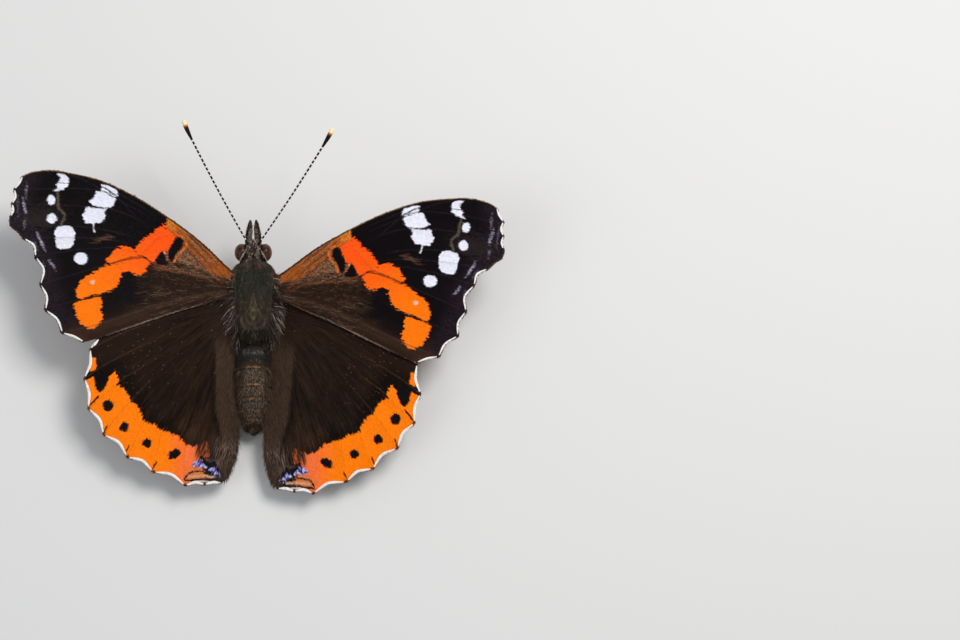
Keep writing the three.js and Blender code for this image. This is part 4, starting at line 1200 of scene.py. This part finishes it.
def wing_root_tufts(side, hand, count=5200):
    """Long tangled hairs, a few of them white, from the thorax's sides over the wing roots."""
    y = random.uniform(-5.0, 3.0, count)
    a = np.radians(random.uniform(2, 32, count))
    a = a if side > 0 else np.pi - a
    root = body_point(y, a, -0.03)
    back = ramp(y, 3.0, -5.0)
    turn = 0.05 + 0.9 * back + 0.8 * noise(y / 0.6, a * 4, 77) + random.normal(0, 0.3, count)
    length = 0.7 + 2.3 * random.random(count) ** 1.6
    length = length * (0.4 + 0.6 * ramp(y, 2.8, 1.2)) * (1 - 0.2 * back)
    white = np.arange(count) < 26
    length = np.where(white, random.uniform(1.6, 3.0, count) * ramp(y, 2.8, 1.0), length)
    along = np.stack([side * np.cos(turn), -np.sin(turn), random.uniform(0.05, 0.45, count)], axis=1)
    curl = random.uniform(0.1, 0.75, count) * length
    bend = np.stack([-side * 0.3 * curl, -curl, -0.35 * length - 0.2 * curl], axis=1)
    locks = noise(y / 0.3, turn * 3, 78) + random.normal(0, 0.35, count)
    base = laid(plain((46, 34, 26), count), (104, 92, 86), ramp(locks, 0.1, 1.0))
    base = laid(base, (22, 16, 12), ramp(locks, -0.1, -0.8))
    base = laid(base, (206, 190, 176), (white | (random.random(count) < 0.02)) * 0.9)
    up = np.tile([0.0, 0.0, 1.0], (count, 1)) + random.normal(0, 0.35, (count, 3))
    width = np.where(white, 0.07, random.uniform(0.045, 0.075, count))
    # Roots darker, tips lighter: painted shade within the tufts and painted light on them.
    tufts(f"wing_root_{hand}_tufts", to_world(root), shown(root, along), up, length, width,
          shown(root, bend), base * 0.8, base * 1.2, body_unwrap(y, a), HAIR, steps=5)


def dress_abdomen():
    """Small scales over the abdomen, hairs along its sides and a brush at its end."""
    y, a = area(25000, -17.8, -5.9, 0, 360)
    side = ramp(np.abs(np.cos(a)), 0.7, 1.0)
    paint = mixed(body_colours(y, a), 0.7, 1.3, 0.02)
    body_coat("abdomen_coat", y, a, paint, (0.2, 0.34), (0.06, 0.095),
              lift=0.16 + 0.2 * side, lean=0.1, stretch=1 + 1.2 * side, shade=0.85, steps=2)
    for label, a0, a1 in (("right", -40, 46), ("left", 134, 220)):
        y, a = area(4800, -16.8, -5.2, a0, a1)
        locks = noise(y / 0.5, a * 8, 79)
        paint = mixed(plain((70, 54, 41), len(y)), 0.55, 1.5, 0.06, locks=locks)
        paint = laid(paint, (40, 36, 33), ramp(y, -9.6, -8.4) * 0.9)
        body_coat(f"abdomen_{label}_hairs", y, a, paint, (0.5, 1.1), (0.045, 0.075), lift=0.45,
                  sway=-0.5 * np.sign(np.cos(a)), lean=0.3)
    count = 900
    y, a = random.uniform(-17.8, -16.6, count), random.uniform(0, 2 * np.pi, count)
    paint = mixed(plain((46, 36, 29), count), 0.5, 1.6, 0.08)
    body_coat("tail_brush", y, a, paint, (0.5, 1.0), (0.04, 0.07), lift=0.3, lean=0.2)


def dress_head():
    """Short raised hairs on the head, white ones beside the feelers and on the brow."""
    for label, y0, y1, sway in (("nape", 4.9, 6.3, 0.0), ("brow", 6.3, 7.8, np.pi)):
        y, a = area(3400, y0, y1, 0, 360)
        x = body_point(y, a)[:, 0]
        fine = noise(y / 0.3, a * 6, 81)
        flecks = (0.06 + 0.55 * bell(np.abs(x), 0.6, 0.2) * bell(y, 6.6, 0.6) + 0.4 * ramp(y, 6.9, 7.3)
                  + 0.45 * bell(np.abs(x) + 0.6 * (y - 5.6) + 0.1 * fine, 0.35, 0.14) * (y < 6.2))
        base = laid(body_colours(y, a), (92, 74, 62), ramp(fine, 0.1, 0.6) * 0.6)
        paint = mixed(base, 0.55, 1.5, 0.0)
        pale = random.random(len(y)) < flecks * 0.8
        paint = laid(paint, (186, 174, 160), pale * random.uniform(0.6, 1.0, len(y)))
        body_coat(f"{label}_coat", y, a, paint, (0.25, 0.5), (0.05, 0.09), lift=0.5, sway=sway,
                  steps=2, spread=0.6)


# Head.

def oval(centre, half, rows=64, columns=96):
    """Points and quads of an oval ball, its poles along x."""
    t = np.linspace(0.001, np.pi - 0.001, rows)
    a = np.linspace(0, 2 * np.pi, columns, endpoint=False)
    t, a = (g.ravel() for g in np.meshgrid(t, a, indexing="ij"))
    d = np.stack([np.cos(t), np.sin(t) * np.cos(a), np.sin(t) * np.sin(a)], axis=1)
    return np.asarray(centre) + d * half, grid_faces(rows, columns, wrap=True), d


def eyes():
    """Large mottled brown eyes, each with a white line of scales behind it."""
    half = np.array([0.96, 1.2, 1.2])
    for hand, side in HANDS:
        centre = np.array([side * 1.56, EYE_AHEAD, 0.36])
        points, faces, d = oval(centre, half)
        outer = d[:, 0] * side
        c = plain((50, 29, 18), len(d))
        blot = noise(d[:, 1] * 3.6, d[:, 2] * 3.6, 51) + 0.6 * noise(d[:, 1] * 9, d[:, 0] * 9, 52)
        c = laid(c, (30, 22, 18), ramp(blot, 0.0, 0.4) * 0.9)
        c = laid(c, (86, 54, 31), ramp(blot, -0.15, -0.6) * 0.7)
        pupil = np.linalg.norm(d - unit(np.array([side * 0.1, 0.1, 0.98])), axis=1)
        c = laid(c, (36, 28, 26), ramp(pupil, 0.55, 0.25) * 0.5)
        c = laid(c, (104, 66, 38), bell(outer, 0.78, 0.12) * 0.6)
        c = laid(c, (34, 22, 17), ramp(outer, 0.88, 0.97))
        c = laid(c, (24, 16, 13), ramp(outer, -0.3, -0.45))
        piece(f"eye_{hand}_ball", to_world(points), faces, c, EYE, replaces=[f"eye_{hand}"])
        n = 260
        turn = np.radians(random.uniform(50, 300, n))
        facing, inward = np.array([side * 0.8, 0.6, 0.0]), np.array([-side * 0.6, 0.8, 0.0])
        spoke = inward * np.cos(turn)[:, None] + np.array([0, 0, 1.0]) * np.sin(turn)[:, None]
        rim = -0.36 + random.normal(0, 0.05, n)[:, None]
        root = centre + half * (facing * rim + spoke * 0.93) * 1.01
        tangent = -inward * np.sin(turn)[:, None] + np.array([0, 0, 1.0]) * np.cos(turn)[:, None]
        pale = rgb(190, 180, 168) * (0.25 + 0.75 * random.random((n, 1)))
        tufts(f"eye_{hand}_line", to_world(root), shown(root, tangent + 0.35 * spoke),
              shown(root, spoke), random.uniform(0.1, 0.24, n), np.full(n, 0.05), np.zeros((n, 3)),
              pale, pale, body_unwrap(root[:, 1], turn), HAIR, steps=2)


def tube(line, radii, sides=14):
    """Points and quads of a round tube along a line."""
    tangent = unit(np.gradient(line, axis=0))
    guide = np.array([0.0, 0.0, 1.0]) if abs(tangent[:, 2]).mean() < 0.8 else np.array([1.0, 0.0, 0.0])
    across = unit(np.cross(tangent, guide))
    over = np.cross(across, tangent)
    a = np.linspace(0, 2 * np.pi, sides, endpoint=False)
    ring = across[:, None] * np.cos(a)[:, None] + over[:, None] * np.sin(a)[:, None]
    points = line[:, None] + ring * np.asarray(radii)[:, None, None]
    return points.reshape(-1, 3), grid_faces(len(line), sides, wrap=True), ring


def rounded(radii, line, cap=0.12):
    """The radii drawn in to points at both ends."""
    s = run(line)
    ends = np.minimum(s, s[-1] - s)
    return radii * np.sqrt(np.clip(1 - (1 - np.clip(ends / cap, 0, 1)) ** 2, 1e-4, 1))


def bristles(name, line, radii, count, long, lift, paint, width=0.05):
    """Short hairs round a tube, leaning towards its tip, with a range of lengths.

    Paint gives colours from the place along the tube and the direction away from it.
    """
    length = random.uniform(*long, count)
    t = random.random(count)
    a = random.uniform(0, 2 * np.pi, count)
    tangent = unit(np.gradient(line, axis=0))
    place, forward, radius = at(line, t), unit(at(tangent, t)), at(np.asarray(radii)[:, None], t)
    across = unit(np.cross(forward, [0.05, 0.03, 1.0]))
    over = np.cross(across, forward)
    out = across * np.cos(a)[:, None] + over * np.sin(a)[:, None]
    root = place + out * radius * 0.9
    lift = (lift + random.normal(0, 0.1, count))[:, None]
    along = forward * np.cos(lift) + out * np.sin(lift)
    uv = np.stack([0.02 + 0.96 * a / (2 * np.pi), 0.02 + 0.96 * t], axis=1)
    base = paint(t, out)
    # Each hair darker at its root and lighter at its tip: painted shade and painted light.
    tufts(name, root, along, out + random.normal(0, 0.2, (count, 3)), length, np.full(count, width),
          np.zeros((count, 3)), base * 0.8, base * TIP_PAINTED_LIGHT, uv, HAIR, steps=2)


PALP_LINE = [(0.62, 6.9, -0.7), (0.64, 7.9, -0.4), (0.55, 9.0, 0.02), (0.46, 9.7, 0.36),
             (0.41, 10.3, 0.64)]


def palps():
    """Two bristly palps that point forward from under the brow, flecked white along the top."""
    for hand, side in HANDS:
        def paint(t, out):
            inside = out[:, 2] - 0.7 * side * out[:, 0]
            flecks = 0.07 + 0.5 * ramp(inside, 0.5, 1.0) * ramp(t, 0.75, 0.5)
            base = laid(plain((40, 31, 26), len(t)), (96, 74, 56), ramp(inside, 0.2, 1.0) * 0.8)
            base = mixed(base, 0.5, 1.5, 0.0)
            pale = random.random(len(t)) < flecks
            return laid(base, (196, 186, 172), pale * random.uniform(0.6, 1, len(t)))

        line = to_world(curve(np.array(PALP_LINE) * (side, 1, 1), steps=10))
        t = np.linspace(0, 1, len(line))
        radii = np.interp(t, [0, 0.2, 0.5, 0.75, 0.9, 1], [0.42, 0.48, 0.42, 0.27, 0.13, 0.02])
        points, faces, ring = tube(line, radii)
        c = plain((52, 40, 33), len(points))
        c = laid(c, (150, 122, 92), ramp(ring.reshape(-1, 3)[:, 2], 0.0, -0.7))
        piece(f"palp_{hand}_skin", points, faces, c, BODY_SKIN, replaces=[f"palp_{hand}"])
        bristles(f"palp_{hand}_bristles", line, radii, count=1800, long=(0.22, 0.45), lift=0.3,
                 paint=paint, width=0.06)


# Where the club of each side's feeler begins and where it ends.
FEELERS = {-1: ((8.3, 21.2, 4.3), (9.3, 23.5, 4.6)), 1: ((9.4, 20.3, 4.1), (10.65, 22.5, 4.4))}
CLUB_START = 0.84
WHITE_RINGS = 24.5


def feelers():
    """Thin black feelers ringed with white, each ending in a blunt club with a cream tip."""
    for hand, side in HANDS:
        club, tip = (np.array(p) * (side, 1, 1) for p in FEELERS[side])
        root = np.array([side * 0.62, 7.15, 1.1])
        middle = root + (club - root) * 0.5 + (side * 0.1, -0.1, 0.15)
        line = to_world(spaced(curve([root, middle, club, tip], steps=40), 360))
        t = np.linspace(0, 1, len(line))
        dash = (t * WHITE_RINGS / CLUB_START) % 1
        white = ramp(np.abs(dash - 0.5), 0.17, 0.13) * ramp(t, 0.855, 0.845) * (t > 0.03)
        radii = np.interp(t, [0, 0.4, CLUB_START], [0.115, 0.125, 0.135]) - 0.018 * white
        radii = radii + np.interp(t, [0, 0.012, 0.03], [0.13, 0.11, 0.0])
        radii = radii + np.interp(t, [CLUB_START, 0.87, 0.9, 0.93, 0.965, 0.985, 1.0],
                                  [0.0, 0.05, 0.11, 0.16, 0.19, 0.17, 0.09])
        sides = 18
        points, faces, _ = tube(line, rounded(radii, line, 0.2), sides)
        c = laid(plain((20, 15, 13), len(t)), (228, 222, 208), white)
        c = laid(c, (196, 110, 40), bell(t, 0.956, 0.008))
        c = laid(c, (246, 224, 178), ramp(t, 0.957, 0.966))
        piece(f"antenna_{hand}_ringed", points, faces, np.repeat(c, sides, axis=0), FEELER,
              replaces=[f"antenna_{hand}"])


def tongue():
    """The coiled tongue under the face."""
    t = np.linspace(0, 1, 160)
    turns = 2.3
    turn = 2 * np.pi * turns * t + 1.2
    r = 0.62 - 0.4 * t
    line = np.stack([0 * t, 7.35 + r * np.cos(turn), -1.5 + r * np.sin(turn)], axis=1)
    line = to_world(np.concatenate([spaced(np.array([(0, 7.3, -0.4), line[0]]), 12)[:-1], line]))
    sides = 12
    points, faces, _ = tube(line, rounded(np.linspace(0.15, 0.07, len(line)), line), sides)
    shade = 1 + 0.25 * np.sin(np.repeat(np.arange(len(line)), sides) * 1.1)[:, None]
    piece("tongue_coil", points, faces, rgb(92, 58, 34) * shade, FEELER,
          replaces=["proboscis"])


# Legs.

LEG_LINES = {
    "midleg": [(1.6, 1.3, 2.95), (3.1, 1.9, 3.8), (4.7, 2.6, 4.2), (6.4, 3.3, 2.4), (7.8, 3.8, 0.6),
               (9.0, 4.3, 0.14), (10.3, 4.9, 0.1)],
    "hindleg": [(1.5, -2.9, 2.25), (2.8, -3.6, 3.3), (4.0, -4.5, 3.7), (5.4, -6.7, 2.1),
                (6.6, -8.8, 0.6), (7.4, -9.9, 0.14), (8.5, -11.3, 0.1)],
}
FORELEG_LINE = [(0.75, 3.5, 5.0), (0.85, 4.1, 4.1), (0.95, 4.7, 3.65), (1.5, 5.6, 4.15),
                (1.35, 6.6, 4.5), (1.05, 7.4, 4.6)]


def spine_paint(t, out):
    """Colours of the small hairs on a leg."""
    return laid(plain((126, 104, 80), len(t)), (66, 54, 44), random.random(len(t)))


def brush_paint(t, out):
    """Colours of the hairs on a foreleg."""
    return mixed(plain((120, 102, 82), len(t)), 0.6, 1.3, 0.1, (190, 174, 152))


def walking_leg(label, hand, side):
    """A thin scaled leg with knees, a jointed foot, spines and two claws."""
    steps = 24
    path = curve(np.array(LEG_LINES[label]) * (side, 1, 1) + GROUND, steps=steps)
    line = spaced(path, 190)
    s = run(path)
    joint = s[::steps][:7] / s[-1]
    t = np.linspace(0, 1, len(line))
    radii = np.interp(t, joint, [0.42, 0.36, 0.24, 0.2, 0.17, 0.13, 0.09])
    # The leg swells at its joints and is drawn in four times along the foot.
    for k in (2, 4, 5):
        radii = radii + 0.05 * bell(t, joint[k], 0.012)
    for share in (0.3, 0.48, 0.64, 0.8):
        radii = radii - 0.03 * bell(t, joint[4] + (joint[6] - joint[4]) * share, 0.006)
    radii = rounded(radii, line)
    line[:, 2] = np.maximum(line[:, 2], radii + 0.01)
    sides = 16
    points, faces, _ = tube(line, radii, sides)
    c = plain((96, 84, 70), len(t))
    c = laid(c, (166, 138, 104), ramp(t, joint[2] - 0.05, joint[2] + 0.06))
    c = laid(c, (92, 74, 56), ramp(noise(t * 90, t * 0, 61), 0.1, 0.6) * 0.5)
    piece(f"{label}_{hand}_skin", points, faces, np.repeat(c, sides, axis=0), LEG,
          replaces=[f"{label}_{hand}"])
    # The last points of the line are the tip, which has claws and no spines.
    spined = 176
    bristles(f"{label}_{hand}_spines", line[:spined], radii[:spined], count=420, long=(0.1, 0.24),
             lift=0.5, paint=spine_paint, width=0.04)
    tip, heading = line[-1], unit(line[-1] - line[-6])
    across = np.cross(heading, [0, 0, 1.0])
    aim = np.array([heading + across * 0.5, heading - across * 0.5]) + np.array([0, 0, 0.15])
    up, bend = np.tile([0, 0, 1.0], (2, 1)), np.tile([0, 0, -0.1], (2, 1))
    tufts(f"{label}_{hand}_claws", np.array([tip, tip]), aim, up, np.full(2, 0.3), np.full(2, 0.09),
          bend, plain((40, 28, 20), 2), plain((30, 20, 14), 2), np.array([[0.3, 0.98], [0.7, 0.98]]),
          LEG)


def foreleg(hand, side):
    """A short brush-like foreleg folded against the breast."""
    line = spaced(curve(np.array(FORELEG_LINE) * (side, 1, 1) + GROUND), 60)
    radii = rounded(np.linspace(0.3, 0.14, len(line)), line)
    points, faces, _ = tube(line, radii)
    piece(f"foreleg_{hand}_skin", points, faces, plain((110, 92, 72), len(points)), BODY_SKIN,
          replaces=[f"foreleg_{hand}"])
    bristles(f"foreleg_{hand}_brush", line, radii, count=900, long=(0.3, 0.6), lift=0.3,
             paint=brush_paint)


body_skin()
dress_thorax()
dress_abdomen()
dress_head()
eyes()
palps()
feelers()
tongue()
for hand, side in HANDS:
    hindwing_fan(side, hand)
    hindwing_inner_edge(side, hand)
    forewing_down(side, hand)
    wing_root_tufts(side, hand)
    walking_leg("midleg", hand, side)
    walking_leg("hindleg", hand, side)
    foreleg(hand, side)


# Floor, light and camera.

def stage_floor():
    """A plain pale floor, a hair's breadth under the feet."""
    bpy.ops.mesh.primitive_plane_add(size=6.0, location=(0, 0, -0.02 * MM))
    floor = bpy.context.object
    floor.name = "floor"
    material = bpy.data.materials.new("floor")
    material.use_nodes = True
    nodes, link = material.node_tree.nodes, material.node_tree.links.new
    shader = dial(nodes["Principled BSDF"], {"Roughness": 0.9, "Specular IOR Level": 0.1})
    cloud = dial(nodes.new("ShaderNodeTexNoise"), {"Scale": 9.0})
    tone = dial(nodes.new("ShaderNodeMapRange"), {"To Min": 0.66, "To Max": 0.70})
    link(cloud.outputs["Fac"], tone.inputs["Value"])
    link(tone.outputs["Result"], shader.inputs["Base Color"])
    floor.data.materials.append(material)


def lamp(name, offset, size, power, colour):
    """A soft square light that looks at the thorax from an offset in millimetres."""
    data = bpy.data.lights.new(name, "AREA")
    data.size, data.energy, data.color = size * MM, power, colour
    made = bpy.data.objects.new(name, data)
    made.location = Vector((ORIGIN + np.array(offset)) * MM)
    made.rotation_euler = (-Vector(offset)).to_track_quat("-Z", "Y").to_euler()
    bpy.context.scene.collection.objects.link(made)


def camera(elevation=76.3, distance=360.3, right=0.085, up=-0.008):
    """The photo's view: nearly from above, with the animal left of the middle."""
    e = math.radians(elevation)
    back = Vector((0, -math.cos(e), math.sin(e)))
    side, over = Vector((1, 0, 0)), Vector((0, math.sin(e), math.cos(e)))
    aim = (-back + side * right + over * up).normalized()
    side = aim.cross(over).normalized()
    over = side.cross(aim)
    data = bpy.data.cameras.new("camera")
    data.lens, data.sensor_width = 100.0, 36.0
    data.clip_start, data.clip_end = 0.01, 20.0
    made = bpy.data.objects.new("camera", data)
    turn = Matrix((side, over, -aim)).transposed().to_4x4()
    spot = Vector(ORIGIN * MM) + back * distance * MM
    made.matrix_world = Matrix.Translation(spot) @ turn
    bpy.context.scene.collection.objects.link(made)
    bpy.context.scene.camera = made


stage_floor()
lamp("key", (150, 130, 300), size=160, power=1.05, colour=(1.0, 0.98, 0.95))
lamp("fill", (-260, -120, 260), size=260, power=0.35, colour=(0.93, 0.96, 1.0))
camera()
world = bpy.data.worlds.new("studio")
world.use_nodes = True
dial(world.node_tree.nodes["Background"], {"Color": (0.86, 0.88, 0.9, 1), "Strength": 0.42})
bpy.context.scene.world = world
bpy.context.scene.view_settings.view_transform = "Standard"
